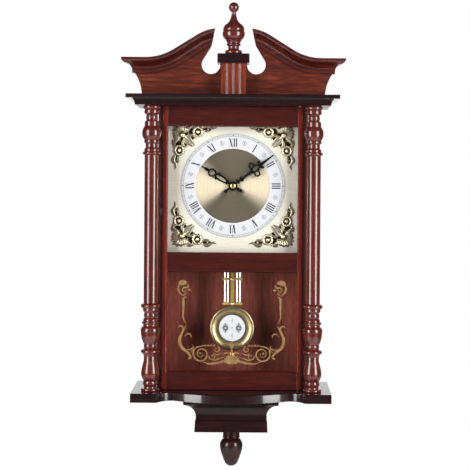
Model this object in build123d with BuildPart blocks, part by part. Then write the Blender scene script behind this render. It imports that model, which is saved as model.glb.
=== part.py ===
"""A pendulum wall clock: swan-neck pediment, turned columns, glazed door, quartz movement.

Millimetres, +Z up. The front faces -Y and the wall is the plane Y = 0. The origin is the
centre of the keyhole that the clock hangs from. A depth is a distance forward of the wall.
"""
from build123d import *
from math import cos, pi, radians, sin
import os

os.makedirs("parts", exist_ok=True)

# Levels, up from the keyhole.
SHELF_TOP = -395.0
SHELF_THICK = 13.0
CORNICE_UNDER = 28.0
CORNICE_PLATE = 37.5
CORNICE_TOP = 43.5
CAP_UNDER = 91.3
CAP_TOP = 105.0
CORBEL_TALL = 49.0

# The case and its door.
CASE_HALF = 112.0
SIDE_THICK = 12.0
CASE_DEEP = 69.3
DOOR_BACK = 70.0
DOOR_FRONT = 84.0
DOOR_HALF = 104.5
DOOR_GAP = 0.8
WINDOW_HALF = 96.7
DIAL_WINDOW = (-190.3, -2.9)
LOWER_WINDOW = (-366.9, -220.0)
REBATE = 2.5
GLASS = (74.4, 76.4)
PIVOT_X = 100.0
PIVOT_DEPTH = 79.0
PIVOT_PIN_R = 1.5

# The columns and the shelf.
COLUMN_X = 120.0
COLUMN_DEPTH = 91.0
SHELF_HALF = 147.0

# The dial, its hands and the pendulum.
DIAL_Z = -91.0
BOARD = (55.0, 61.0)
PLATE_FRONT = 62.0
RING_OUTER = 78.0
RING_INNER = 56.0
MINUTE_ANGLE = 52.5
HOUR_ANGLE = 302.0
LEVER_Z = -124.0
BOB_Z = -306.4
STRIP = (46.8, 48.0)

# The gear train: modules and tooth counts.
MOTION_MODULE = 0.7
CANNON_TEETH = 12
MOTION_TEETH = 36
MOTION_PINION_TEETH = 10
HOUR_TEETH = 40
TRAIN_MODULE = 0.5
CENTRE_TEETH = 64
THIRD_PINION_TEETH = 8
THIRD_TEETH = 60
MOTION_Z = DIAL_Z + MOTION_MODULE * (CANNON_TEETH + MOTION_TEETH) / 2
HOUR_MODULE = 2 * (MOTION_Z - DIAL_Z) / (MOTION_PINION_TEETH + HOUR_TEETH)
THIRD_X = -TRAIN_MODULE * (CENTRE_TEETH + THIRD_PINION_TEETH) / 2

SCREW_HEAD_R = 3.0
SCREW_SHANK_R = 1.5
SCREW_LONG = 12.0
SCREW_CONE = 1.5
HANGER_SCREW_X = 14.0
DIAL_SCREWS = [(x, z) for x in (-95.0, 95.0) for z in (-178.0, -8.0)]


def finish(built, name):
    """Label a finished piece and write it as its own STEP file."""
    built.part.label = name
    export_step(built.part, f"parts/{name}.step")


def front(depth):
    """The drawing plane that faces the viewer at a depth: x to the right, y up."""
    return Plane.XZ.offset(depth)


def slab(x, z, depth, mode=Mode.ADD):
    """Add, or cut, a square-edged block that spans three ranges."""
    middle = ((x[0] + x[1]) / 2, -(depth[0] + depth[1]) / 2, (z[0] + z[1]) / 2)
    with Locations(middle):
        Box(x[1] - x[0], depth[1] - depth[0], z[1] - z[0], mode=mode)


def rod(x, z, depth, radius, mode=Mode.ADD):
    """Add, or bore, a cylinder that runs from one depth to another."""
    with Locations(Location((x, -(depth[0] + depth[1]) / 2, z), (90, 0, 0))):
        Cylinder(radius, depth[1] - depth[0], mode=mode)


def half_section(stations, plane):
    """The half section of a turned piece: (height, radius) or (height, radius, bulge) stations.

    A last station of no radius is reached by a quarter dome, and its third value is how far along
    the dome has narrowed to 0.7 of its radius: 0.7 for a round one, less for an egg.
    """
    with BuildSketch(plane) as section:
        with BuildLine():
            last = (0, stations[0][0])
            for height, radius, *bulge in stations:
                rise = height - last[1]
                if radius == 0:
                    shoulder = last[1] + rise * (bulge[0] if bulge else 0.7)
                    Spline(last, (0.7 * last[0], shoulder), (0, height), tangents=[(0, rise), (-1, 0)])
                elif bulge:
                    SagittaArc(last, (radius, height), bulge[0] if rise < 0 else -bulge[0])
                else:
                    Line(last, (radius, height))
                last = (radius, height)
            if last[0] > 0:
                Line(last, (0, last[1]))
            Line((0, last[1]), (0, stations[0][0]))
        make_face()
    return section.sketch


def upright(x, z, depth):
    """A plane whose y runs up a vertical axis, for turning about that axis."""
    return Plane(origin=(x, -depth, z), x_dir=(1, 0, 0), z_dir=(0, -1, 0))


def facing(z):
    """A plane whose y runs forward from the wall, for turning about a front-to-back axis."""
    return Plane(origin=(0, 0, z), x_dir=(1, 0, 0), z_dir=(0, 0, 1))


def forward_axis(x, z):
    """The axis of a piece that turns like the hands do."""
    return Axis((x, 0, z), (0, -1, 0))


def gear(teeth, module, turn=0.0, tip_part=0.10, root_part=0.27):
    """Front view of a spur gear, its teeth thin enough to run with some backlash."""
    pitch_r = module * teeth / 2
    tip = pitch_r + 0.85 * module
    root = pitch_r - 1.15 * module
    outline = []
    for tooth in range(teeth):
        for part, radius in ((-root_part, root), (-tip_part, tip), (tip_part, tip), (root_part, root)):
            angle = radians(turn) + 2 * pi * (tooth + part) / teeth
            outline.append((radius * sin(angle), radius * cos(angle)))
    with BuildSketch(mode=Mode.PRIVATE) as wheel:
        Polygon(*outline, align=None)
    return wheel.sketch


def place(flat, plane, thick, mode=Mode.ADD):
    """Extrude a flat shape forward from the plane it is set on."""
    add(extrude(plane * flat, amount=thick, dir=(0, -1, 0), mode=Mode.PRIVATE), mode=mode)


# ---------------------------------------------------------------- the case

# The shelf: straight ends under the columns, a hollow each side, and a bowed middle.
SHELF_END_DEPTH = 120.0
BOW_HALF = 84.4
BOW_END_DEPTH = 101.0
BOW_DEPTH = 127.0
with BuildPart() as base_shelf:
    with BuildSketch(Plane.XY.offset(SHELF_TOP - SHELF_THICK)):
        with BuildLine():
            Line((0, 0), (SHELF_HALF, 0))
            Line((SHELF_HALF, 0), (SHELF_HALF, -SHELF_END_DEPTH))
            Line((SHELF_HALF, -SHELF_END_DEPTH), (109, -SHELF_END_DEPTH))
            Line((109, -SHELF_END_DEPTH), (107, -SHELF_END_DEPTH + 2.5))
            SagittaArc((107, -SHELF_END_DEPTH + 2.5), (BOW_HALF, -BOW_END_DEPTH), -4.5)
            ThreePointArc((BOW_HALF, -BOW_END_DEPTH), (44.5, -120.3), (0, -BOW_DEPTH))
            mirror(about=Plane.YZ)
        make_face()
    extrude(amount=SHELF_THICK)
    front_edges = base_shelf.faces().sort_by(Axis.Z)[-1].edges().filter_by_position(
        Axis.Y, -BOW_DEPTH - 1, -BOW_END_DEPTH + 1)
    chamfer(front_edges, 1.6)
    with Locations((PIVOT_X, -PIVOT_DEPTH, SHELF_TOP - 2.5)):
        Cylinder(3.0, 5.0, mode=Mode.SUBTRACT)

# The corbel under the shelf: a fillet, a hollow that draws it in, and a rounded foot.
CORBEL_TOP = SHELF_TOP - SHELF_THICK
CORBEL_FOOT = CORBEL_TOP - CORBEL_TALL
DROP_DEPTH = 55.0
with BuildPart() as corbel:
    with BuildSketch(front(0)):
        with BuildLine():
            Polyline((0, CORBEL_TOP), (70.5, CORBEL_TOP), (70.5, CORBEL_TOP - 6), (68.5, CORBEL_TOP - 7))
            SagittaArc((68.5, CORBEL_TOP - 7), (52.5, CORBEL_TOP - 25), -4.0)
            Polyline((52.5, CORBEL_TOP - 25), (52.5, CORBEL_TOP - 31), (53.6, CORBEL_TOP - 32.5),
                     (54.4, CORBEL_FOOT), (0, CORBEL_FOOT))
            mirror(about=Plane.YZ)
        make_face()
    extrude(amount=101)
    with BuildSketch(Plane.YZ.offset(-80)):
        with BuildLine():
            Polyline((-87.4, CORBEL_FOOT), (0, CORBEL_FOOT), (0, CORBEL_TOP), (-101, CORBEL_TOP),
                     (-101, CORBEL_TOP - 6), (-99, CORBEL_TOP - 7))
            SagittaArc((-99, CORBEL_TOP - 7), (-85, CORBEL_TOP - 25), 4.0)
            Polyline((-85, CORBEL_TOP - 25), (-85, CORBEL_TOP - 31), (-86.6, CORBEL_TOP - 32.5),
                     (-87.4, CORBEL_FOOT))
        make_face()
    extrude(amount=160, mode=Mode.INTERSECT)
    with Locations((0, -DROP_DEPTH, CORBEL_FOOT + 4)):
        Cylinder(4.0, 8.0, mode=Mode.SUBTRACT)

# The turned drop under the corbel: a collar and an egg, with a dowel glued into the corbel.
drop_stations = [(8, 4.0), (0, 4.0), (0, 12.4), (-11.2, 12.4), (-13.4, 12.4, 0.8), (-14.2, 10.8),
                 (-24, 17.0, 1.5), (-56.5, 0, 0.66)]
with BuildPart() as drop_finial:
    revolve(half_section(drop_stations, upright(0, CORBEL_FOOT, DROP_DEPTH)),
            axis=Axis((0, -DROP_DEPTH, 0), (0, 0, 1)))

# The two sides of the case; their front edges close against the back of the door.
sides = {}
for side_name, hand in (("left", -1), ("right", 1)):
    side_x = sorted((hand * (CASE_HALF - SIDE_THICK), hand * CASE_HALF))
    with BuildPart() as side:
        slab(side_x, (SHELF_TOP, CORNICE_UNDER), (0, CASE_DEEP))
        if hand < 0:
            slab((-104, -100.4), (-191, -175), (CASE_DEEP - 5, CASE_DEEP), mode=Mode.SUBTRACT)
    finish(side, f"case_side_{side_name}")

# The back panel stops below the hanging rail and has a hand hole behind the movement.
INSIDE = CASE_HALF - SIDE_THICK
RAIL_FOOT = -22.0
with BuildPart() as back_panel:
    slab((-INSIDE, INSIDE), (SHELF_TOP, RAIL_FOOT), (3, 8))
    slab((-50, 50), (-150, -44), (3, 8), mode=Mode.SUBTRACT)

# The hanging rail carries the whole clock: it is recessed for the plate and for the wall screw's head.
with BuildPart() as hanging_rail:
    slab((-INSIDE, INSIDE), (RAIL_FOOT, CORNICE_UNDER), (0, 18))
    slab((-20, 20), (-9, 19), (0, 1.5), mode=Mode.SUBTRACT)
    slab((-7, 7), (-7, 16), (1.5, 12), mode=Mode.SUBTRACT)
    for x in (-HANGER_SCREW_X, HANGER_SCREW_X):
        rod(x, 5, (1.5, SCREW_LONG), SCREW_SHANK_R, mode=Mode.SUBTRACT)

# The steel keyhole plate: the wall screw's head goes in at the round entry and the clock drops on to it.
KEYHOLE_R = 4.5
SLOT_R = 2.3
with BuildPart() as hanger_plate:
    slab((-20, 20), (-9, 19), (0, 1.5))
    rod(0, 0, (0, 1.5), KEYHOLE_R, mode=Mode.SUBTRACT)
    slab((-SLOT_R, SLOT_R), (0, 11), (0, 1.5), mode=Mode.SUBTRACT)
    rod(0, 11, (0, 1.5), SLOT_R, mode=Mode.SUBTRACT)
    for x in (-HANGER_SCREW_X, HANGER_SCREW_X):
        with Locations(Location((x, 0, 5), (-90, 0, 0))):
            Cone(SCREW_SHANK_R, SCREW_HEAD_R, SCREW_CONE, align=(Align.CENTER, Align.CENTER, Align.MAX),
                 mode=Mode.SUBTRACT)

# Wood screws, all alike: two hold the hanger plate and four hold the dial board to its cleats.
with BuildPart() as wood_screws:
    for x in (-HANGER_SCREW_X, HANGER_SCREW_X):
        rod(x, 5, (SCREW_CONE, SCREW_LONG), SCREW_SHANK_R)
        with Locations(Location((x, 0, 5), (-90, 0, 0))):
            Cone(SCREW_SHANK_R, SCREW_HEAD_R, SCREW_CONE, align=(Align.CENTER, Align.CENTER, Align.MAX))
    for x, z in DIAL_SCREWS:
        rod(x, z, (BOARD[1] - SCREW_LONG, BOARD[1] - SCREW_CONE), SCREW_SHANK_R)
        with Locations(Location((x, -BOARD[1], z), (90, 0, 0))):
            Cone(SCREW_SHANK_R, SCREW_HEAD_R, SCREW_CONE, align=(Align.CENTER, Align.CENTER, Align.MAX))

# Two rubber bumpers keep the foot of the case off the wall.
with BuildPart() as wall_bumpers:
    for x in (-80, 80):
        rod(x, SHELF_TOP + 18, (0, 3), 7)

# The roof board ties the sides together and the cornice is built round it.
ROOF_HALF = 134.0
ROOF_DEPTH = 92.0
with BuildPart() as case_roof:
    slab((-ROOF_HALF, ROOF_HALF), (CORNICE_UNDER, CORNICE_PLATE), (0, ROOF_DEPTH))
    with Locations((PIVOT_X, -PIVOT_DEPTH, CORNICE_UNDER + 2.5)):
        Cylinder(3.0, 5.0, mode=Mode.SUBTRACT)

with BuildPart() as cornice_plate:
    slab((-157, 157), (CORNICE_PLATE, CORNICE_TOP), (0, 115))
    chamfer(cornice_plate.edges().filter_by(Axis.X).group_by(Axis.Y)[0], 0.8)

# The cornice moulding: three mitred lengths of one section, round the front and the ends of the roof.
with BuildPart() as cornice_moulding:
    for turned_plane, near, long in (
            (Plane(origin=(-160, -ROOF_DEPTH, 0), x_dir=(0, -1, 0), z_dir=(1, 0, 0)), "front", 320),
            (Plane(origin=(-ROOF_HALF, 0, 0), x_dir=(-1, 0, 0), z_dir=(0, -1, 0)), "left", 130),
            (Plane(origin=(ROOF_HALF, 0, 0), x_dir=(1, 0, 0), z_dir=(0, -1, 0)), "right", 130)):
        # A local y of +1 or -1 is up, whichever way the plane's own y comes out.
        up = turned_plane.y_dir.Z
        with BuildSketch(turned_plane, mode=Mode.PRIVATE) as moulding_section:
            with BuildLine():
                Polyline((0, up * CORNICE_UNDER), (10.5, up * CORNICE_UNDER), (11.8, up * 34.7),
                         (13.2, up * 34.7))
                SagittaArc((13.2, up * 34.7), (15, up * CORNICE_PLATE), up * 0.6)
                Polyline((15, up * CORNICE_PLATE), (0, up * CORNICE_PLATE), (0, up * CORNICE_UNDER))
            make_face()
        length = extrude(moulding_section.sketch, amount=long, mode=Mode.PRIVATE)
        for hand in (-1, 1):
            corner = Plane(origin=(hand * ROOF_HALF, -ROOF_DEPTH, 0), x_dir=(0, 0, 1), z_dir=(hand, 1, 0))
            if near == "front":
                length = split(length, bisect_by=corner, keep=Keep.BOTTOM, mode=Mode.PRIVATE)
            elif (near == "left") == (hand < 0):
                length = split(length, bisect_by=corner, keep=Keep.TOP, mode=Mode.PRIVATE)
        add(length)

# ---------------------------------------------------------------- the pediment

# The crown line is the top edge of each swan neck: flat, a hollow arc, a short rise and a full arc.
PEDIMENT = (58.0, 70.0)
RISE_ANGLE = 32.0
CROWN_FLAT_Z = 99.4
HOLLOW_R = 80.2
FULL_R = 67.8
HOLLOW_START = -131.0
RISE_LONG = 40.1
MOULDING_TALL = 22.5
sweep_x = sin(radians(RISE_ANGLE))
sweep_z = 1 - cos(radians(RISE_ANGLE))
rise_start = Vector(HOLLOW_START + HOLLOW_R * sweep_x, CROWN_FLAT_Z + HOLLOW_R * sweep_z)
rise_end = rise_start + Vector(RISE_LONG * cos(radians(RISE_ANGLE)), RISE_LONG * sweep_x)
crown_top = rise_end + Vector(FULL_R * sweep_x, FULL_R * sweep_z)


def crown_line(start_x, drop=0.0):
    """The crown line, from its outer end to the top of the swan neck, lowered by drop."""
    low = Vector(0, -drop)
    Line(Vector(start_x, CROWN_FLAT_Z) + low, Vector(HOLLOW_START, CROWN_FLAT_Z) + low)
    TangentArc(Vector(HOLLOW_START, CROWN_FLAT_Z) + low, rise_start + low, tangent=(1, 0))
    Line(rise_start + low, rise_end + low)
    TangentArc(rise_end + low, crown_top + low, tangent=rise_end - rise_start)


# The pediment board: hollow ends, a round cut each side of the plinth, open up to the swan necks' tips.
CUT_X = 34.0
CUT_Z = 90.4
CUT_R = 14.0
with BuildPart() as pediment_board:
    with BuildSketch(front(PEDIMENT[0])):
        with BuildLine():
            crown_line(-148, drop=1.5)
            Polyline(crown_top - Vector(0, 1.5), (crown_top.X, CORNICE_TOP), (-137.3, CORNICE_TOP))
            SagittaArc((-137.3, CORNICE_TOP), (-148, 77.3), -2.6)
            Line((-148, 77.3), (-148, CROWN_FLAT_Z - 1.5))
        make_face()
        mirror(about=Plane.YZ)
        with Locations((0, (CORNICE_TOP + CAP_UNDER) / 2)):
            Rectangle(60, CAP_UNDER - CORNICE_TOP)
        with Locations((-CUT_X, CUT_Z), (CUT_X, CUT_Z)):
            Circle(CUT_R, mode=Mode.SUBTRACT)
        with Locations((0, 130)):
            Rectangle(2 * 33.0, 2 * (130 - CAP_UNDER), mode=Mode.SUBTRACT)
        for hand in (-1, 1):
            Polygon((hand * 20.5, 150), (hand * 33, 150), (hand * 33, 119),
                    (hand * (CUT_X + CUT_R - 1.0), 96), (hand * CUT_X, CUT_Z), (hand * 20.5, CUT_Z),
                    align=None, mode=Mode.SUBTRACT)
    extrude(amount=PEDIMENT[1] - PEDIMENT[0])

# The crown moulding's section, out from the board and down from the crown line.
TOP_OUT = 19.0
FOOT_OUT = 3.2
RETURN_PLANE = Plane(origin=(-148, -PEDIMENT[1], 0), x_dir=(0, 0, 1), z_dir=(-1, 1, 0))


def crown_section(plane):
    """The crown moulding's section: a fillet and an ovolo above a cove that ends in a small foot."""
    with BuildSketch(plane, mode=Mode.PRIVATE) as section:
        with BuildLine():
            Polyline((0, 0), (TOP_OUT, 0), (TOP_OUT, 2.2))
            SagittaArc((TOP_OUT, 2.2), (13.0, 8.0), -1.2)
            Line((13.0, 8.0), (11.6, 8.0))
            SagittaArc((11.6, 8.0), (FOOT_OUT + 0.6, 20.2), 2.6)
            Polyline((FOOT_OUT + 0.6, 20.2), (FOOT_OUT, MOULDING_TALL), (0, MOULDING_TALL), (0, 0))
        make_face()
    return section.sketch


with BuildLine() as crown_path:
    crown_line(-175)
with BuildPart() as pediment_moulding_left:
    main_start = Plane(origin=(-175, -PEDIMENT[1], CROWN_FLAT_Z), x_dir=(0, -1, 0), z_dir=(1, 0, 0))
    main = sweep(crown_section(main_start), path=front(PEDIMENT[1]) * crown_path.wire(),
                 mode=Mode.PRIVATE)
    add(split(main, bisect_by=RETURN_PLANE, keep=Keep.BOTTOM, mode=Mode.PRIVATE))
    tip_cut = Plane(origin=(-33, -PEDIMENT[1], 119), x_dir=(0, -1, 0), z_dir=(23, 0, -5.4))
    split(bisect_by=tip_cut, keep=Keep.BOTTOM)
    # The return runs back along the end of the board.
    return_start = Plane(origin=(-148, -PEDIMENT[0], CROWN_FLAT_Z), x_dir=(-1, 0, 0), z_dir=(0, -1, 0))
    outer = extrude(crown_section(return_start), amount=60, mode=Mode.PRIVATE)
    add(split(outer, bisect_by=RETURN_PLANE, keep=Keep.TOP, mode=Mode.PRIVATE))

with BuildPart() as pediment_moulding_right:
    add(mirror(pediment_moulding_left.part, about=Plane.YZ, mode=Mode.PRIVATE))

# The fluted plinth in front of the board, its black cap, and the turned finial.
FINIAL_DEPTH = 80.0
with BuildPart() as keystone:
    slab((-18.5, 18.5), (CORNICE_TOP, CAP_UNDER), (PEDIMENT[1], 90))
    for x in (-9.6, 0, 9.6):
        with Locations((x, -90.6, (CORNICE_TOP + CAP_UNDER) / 2)):
            Cylinder(2.1, CAP_UNDER - CORNICE_TOP, mode=Mode.SUBTRACT)

with BuildPart() as plinth_cap:
    slab((-23.7, 23.7), (CAP_UNDER, CAP_TOP), (58, 95))
    with Locations((0, -FINIAL_DEPTH, CAP_TOP - 4)):
        Cylinder(4.0, 8.0, mode=Mode.SUBTRACT)
    chamfer(plinth_cap.faces().sort_by(Axis.Z)[-1].outer_wire().edges(), 0.6)

finial_stations = [(-8, 4.0), (0, 4.0), (0, 12.0), (5.6, 12.0, 1.0), (6.4, 8.8), (12.2, 8.8, -0.7),
                   (12.8, 10.2), (15.2, 10.2, 0.7), (15.8, 9.6), (20.2, 12.0, -0.4), (20.8, 11.4),
                   (21.4, 12.2), (34.0, 16.3, 2.2), (34.7, 15.7), (35.4, 16.2), (45.6, 10.4, 1.7),
                   (54, 4.9, -0.9), (63.04, 3.5, -0.5), (69.9, 7.7, 1.0), (77.6, 0)]
with BuildPart() as top_finial:
    revolve(half_section(finial_stations, upright(0, CAP_TOP, FINIAL_DEPTH)),
            axis=Axis((0, -FINIAL_DEPTH, 0), (0, 0, 1)))

# ---------------------------------------------------------------- the columns

column_stations = [
    (0, 12.8), (4.2, 12.8, 1.1), (4.2, 9.8), (8.2, 9.8, -0.6), (15.0, 9.8, 1.0), (17.0, 10.9),
    (28.7, 13.5, 0.9), (44.7, 9.8, 0.4), (51.6, 9.8), (55.6, 11.4), (61.6, 11.4, 2.8), (63.6, 9.2),
    (69.6, 9.2, 0.9), (70.3, 10.4), (87.4, 14.5, 0.8), (96.4, 11.0, 1.6), (99.0, 11.0),
    (103.4, 11.0, 2.1), (105.8, 11.1), (108.5, 9.2), (115.5, 9.2, 0.9), (119.2, 11.6), (122.6, 11.6),
    (129.2, 11.6, 3.1), (130.0, 10.6), (348.3, 10.6), (349.2, 11.0), (354.4, 11.0, 2.5), (357.5, 11.4),
    (360.0, 9.2), (365.6, 9.2), (367.4, 11.4), (370.2, 11.4), (371.4, 11.0), (391.8, 11.0, 3.6),
    (394.5, 10.8), (398.4, 10.8), (400.5, 8.0), (408.3, 8.0, 0.8), (410.8, 11.4), (414.8, 11.4),
    (416.6, 10.8), (422.6, 10.8, 2.4), (CORNICE_UNDER - SHELF_TOP, 10.8)]
for side_name, hand in (("left", -1), ("right", 1)):
    with BuildPart() as column:
        revolve(half_section(column_stations, upright(hand * COLUMN_X, SHELF_TOP, COLUMN_DEPTH)),
                axis=Axis((hand * COLUMN_X, -COLUMN_DEPTH, 0), (0, 0, 1)))
    finish(column, f"column_{side_name}")

# ---------------------------------------------------------------- the door

DOOR_FOOT = SHELF_TOP + DOOR_GAP
DOOR_TOP = CORNICE_UNDER - DOOR_GAP


def cut_windows():
    """Cut both glass rebates and the bevel round both windows from the part being built."""
    for low, high in (DIAL_WINDOW, LOWER_WINDOW):
        slab((-WINDOW_HALF - REBATE, WINDOW_HALF + REBATE), (low - REBATE, high + REBATE),
             (DOOR_BACK, GLASS[1]), mode=Mode.SUBTRACT)
        with BuildSketch(front(DOOR_FRONT - 1.8), mode=Mode.PRIVATE) as window:
            with Locations((0, (low + high) / 2)):
                Rectangle(2 * WINDOW_HALF, high - low)
        extrude(window.sketch, amount=1.8, taper=-40, mode=Mode.SUBTRACT)


with BuildPart() as door_stiles:
    for hand in (-1, 1):
        slab(sorted((hand * WINDOW_HALF, hand * DOOR_HALF)), (DOOR_FOOT, DOOR_TOP), (DOOR_BACK, DOOR_FRONT))
    for hand in (-1, 1):
        outer_edges = door_stiles.edges().filter_by(Axis.Z).filter_by_position(
            Axis.X, hand * DOOR_HALF - 0.1, hand * DOOR_HALF + 0.1)
        fillet(outer_edges.sort_by(Axis.Y)[0], 1.5)
    # The bevel behind the hinge stile lets it turn past the edge of the case.
    hinge_edges = door_stiles.edges().filter_by(Axis.Z).filter_by_position(
        Axis.X, DOOR_HALF - 0.1, DOOR_HALF + 0.1)
    chamfer(hinge_edges.sort_by(Axis.Y)[-1], 2.0)
    cut_windows()
    slab((-104, -100.4), (-191, -175), (DOOR_BACK, DOOR_BACK + 0.6), mode=Mode.SUBTRACT)
    for z in (DOOR_FOOT + 4, DOOR_TOP - 4):
        with Locations((PIVOT_X, -PIVOT_DEPTH, z)):
            Cylinder(PIVOT_PIN_R, 8.0, mode=Mode.SUBTRACT)

with BuildPart() as door_rails:
    for z in ((DIAL_WINDOW[1], DOOR_TOP), (LOWER_WINDOW[1], DIAL_WINDOW[0]), (DOOR_FOOT, LOWER_WINDOW[0])):
        slab((-WINDOW_HALF, WINDOW_HALF), z, (DOOR_BACK, DOOR_FRONT))
    cut_windows()

# Two panes lie in the rebates, held from behind by glazing beads.
GLASS_HALF = WINDOW_HALF + REBATE - 0.1
with BuildPart() as door_glass:
    for low, high in (DIAL_WINDOW, LOWER_WINDOW):
        slab((-GLASS_HALF, GLASS_HALF), (low - REBATE + 0.1, high + REBATE - 0.1), GLASS)

with BuildPart() as glazing_beads:
    for low, high in (DIAL_WINDOW, LOWER_WINDOW):
        with BuildSketch(front(DOOR_BACK)):
            with Locations((0, (low + high) / 2)):
                Rectangle(2 * GLASS_HALF, high - low + 2 * REBATE - 0.2)
                Rectangle(2 * WINDOW_HALF, high - low, mode=Mode.SUBTRACT)
    extrude(amount=GLASS[0] - DOOR_BACK)

# The door hangs on two brass pins that turn in brass bushes let into the shelf and the roof.
BUSH_BORE_R = PIVOT_PIN_R + 0.05
with BuildPart() as door_pins:
    for z in (DOOR_FOOT + 8 - 6.5, DOOR_TOP - 8 + 6.5):
        with Locations((PIVOT_X, -PIVOT_DEPTH, z)):
            Cylinder(PIVOT_PIN_R, 13.0)

with BuildPart() as pivot_bushes:
    for z in (SHELF_TOP - 2.5, CORNICE_UNDER + 2.5):
        with Locations((PIVOT_X, -PIVOT_DEPTH, z)):
            Cylinder(3.0, 5.0)
            Cylinder(BUSH_BORE_R, 5.0, mode=Mode.SUBTRACT)

# The magnet in the case edge holds the door by a steel strip in the back of the closing stile.
with BuildPart() as catch_magnet:
    slab((-104, -100.4), (-191, -175), (CASE_DEEP - 5, CASE_DEEP))
with BuildPart() as strike_plate:
    slab((-104, -100.4), (-191, -175), (DOOR_BACK, DOOR_BACK + 0.6))

# A small nickel finger pull on the closing stile, in the gap beside the column.
with BuildPart() as door_pull:
    slab((-107.3, -DOOR_HALF), (-135, -125), (76.0, 79.0))
    fillet(door_pull.edges().filter_by(Axis.Y).group_by(Axis.X)[0], 1.2)

# ---------------------------------------------------------------- the dial

# Cleats glued inside the sides carry the dial board; the movement hangs from the board.
with BuildPart() as dial_cleats:
    for hand in (-1, 1):
        slab(sorted((hand * 90, hand * INSIDE)), (-195, 5), (43, BOARD[0]))
    for x, z in DIAL_SCREWS:
        rod(x, z, (BOARD[1] - SCREW_LONG, BOARD[0]), SCREW_SHANK_R, mode=Mode.SUBTRACT)

BUSHING_R = 4.0
with BuildPart() as dial_board:
    slab((-99.7, 99.7), (-197, 10), BOARD)
    rod(0, DIAL_Z, BOARD, BUSHING_R + 0.1, mode=Mode.SUBTRACT)
    for x, z in DIAL_SCREWS:
        rod(x, z, (BOARD[0], BOARD[1] - SCREW_CONE), SCREW_SHANK_R, mode=Mode.SUBTRACT)
        with Locations(Location((x, -BOARD[1], z), (90, 0, 0))):
            Cone(SCREW_SHANK_R, SCREW_HEAD_R, SCREW_CONE, align=(Align.CENTER, Align.CENTER, Align.MAX),
                 mode=Mode.SUBTRACT)

with BuildPart() as dial_plate:
    slab((-99, 99), (-196, 9), (BOARD[1], PLATE_FRONT))
    rod(0, DIAL_Z, (BOARD[1], PLATE_FRONT), BUSHING_R + 0.1, mode=Mode.SUBTRACT)

RING_FRONT = PLATE_FRONT + 0.8
with BuildPart() as chapter_ring:
    rod(0, DIAL_Z, (PLATE_FRONT, RING_FRONT), RING_OUTER)
    rod(0, DIAL_Z, (PLATE_FRONT, RING_FRONT), RING_INNER, mode=Mode.SUBTRACT)

DISC_FRONT = PLATE_FRONT + 0.5
with BuildPart() as centre_disc:
    rod(0, DIAL_Z, (PLATE_FRONT, DISC_FRONT), RING_INNER - 0.2)
    rod(0, DIAL_Z, (PLATE_FRONT, DISC_FRONT), BUSHING_R + 0.1, mode=Mode.SUBTRACT)

# The spandrels: a shell in each corner, two rosettes, and a leafy arm along each side.
SPANDREL_THICK = 3.0
with BuildPart() as spandrels:
    with BuildSketch(front(PLATE_FRONT)):
        for across in (-1, 1):
            for up in (-1, 1):
                with Locations((across * 79, DIAL_Z + up * 79)):
                    Circle(12.0)
                with Locations((across * 53, DIAL_Z + up * 81), (across * 81, DIAL_Z + up * 53)):
                    Circle(7.5)
                with Locations((across * 52, DIAL_Z + up * 84.5)):
                    Rectangle(54, 5.0)
                with Locations((across * 84.5, DIAL_Z + up * 52)):
                    Rectangle(5.0, 54)
        with Locations((0, DIAL_Z)):
            Circle(RING_OUTER + 0.6, mode=Mode.SUBTRACT)
    extrude(amount=SPANDREL_THICK)

# A brass nut clamps the movement's bushing through the dial.
NUT = (DISC_FRONT, 64.6)
with BuildPart() as fixing_nut:
    rod(0, DIAL_Z, (NUT[0], NUT[0] + 0.5), 7.0)
    with BuildSketch(front(NUT[0] + 0.5)):
        with Locations((0, DIAL_Z)):
            RegularPolygon(6.2, 6)
    extrude(amount=NUT[1] - NUT[0] - 0.5)
    rod(0, DIAL_Z, NUT, BUSHING_R, mode=Mode.SUBTRACT)

# ---------------------------------------------------------------- the hands

HOUR_DEPTH = 65.8
MINUTE_DEPTH = 67.6
HAND_THICK = 0.6


def hand_plane(depth, clock_angle):
    """A plane on the dial centre whose y runs out along a hand."""
    turn = radians(clock_angle)
    return Plane(origin=(0, -depth, DIAL_Z), x_dir=(cos(turn), 0, -sin(turn)), z_dir=(0, -1, 0))


HOUR_TUBE_R = 3.0
with BuildPart() as hour_hand:
    with BuildSketch(hand_plane(HOUR_DEPTH, HOUR_ANGLE)):
        Circle(6.6)
        with BuildLine():
            Polyline((-1.6, -12), (-1.6, 11), (1.6, 11), (1.6, -12), (-1.6, -12))
        make_face()
        with Locations((0, -13.2)):
            Ellipse(2.7, 2.8)
        with Locations((0, -9.2)):
            Rectangle(6.0, 2.0)
        with Locations((0, 10.2)):
            Ellipse(4.0, 2.0)
        # Two bowed bars make the slender loop, with a barb each side where they close up.
        with Locations((0, 21.2)):
            Ellipse(4.7, 11.8)
            Ellipse(2.2, 9.0, mode=Mode.SUBTRACT)
        for hand in (-1, 1):
            with BuildLine():
                Polyline((0, 32.4), (hand * 6.8, 28.0), (hand * 6.0, 25.6), (0, 29.4), (0, 32.4))
            make_face()
        with Locations((0, 37.0)):
            Circle(6.4)
            Circle(4.1, mode=Mode.SUBTRACT)
        with Locations((0, 46.4)):
            Ellipse(2.8, 2.4)
        with BuildLine():
            Polyline((-2.2, 42.4), (-0.8, 55.6), (0.8, 55.6), (2.2, 42.4), (-2.2, 42.4))
        make_face()
        Circle(HOUR_TUBE_R, mode=Mode.SUBTRACT)
    extrude(amount=HAND_THICK)

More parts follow.
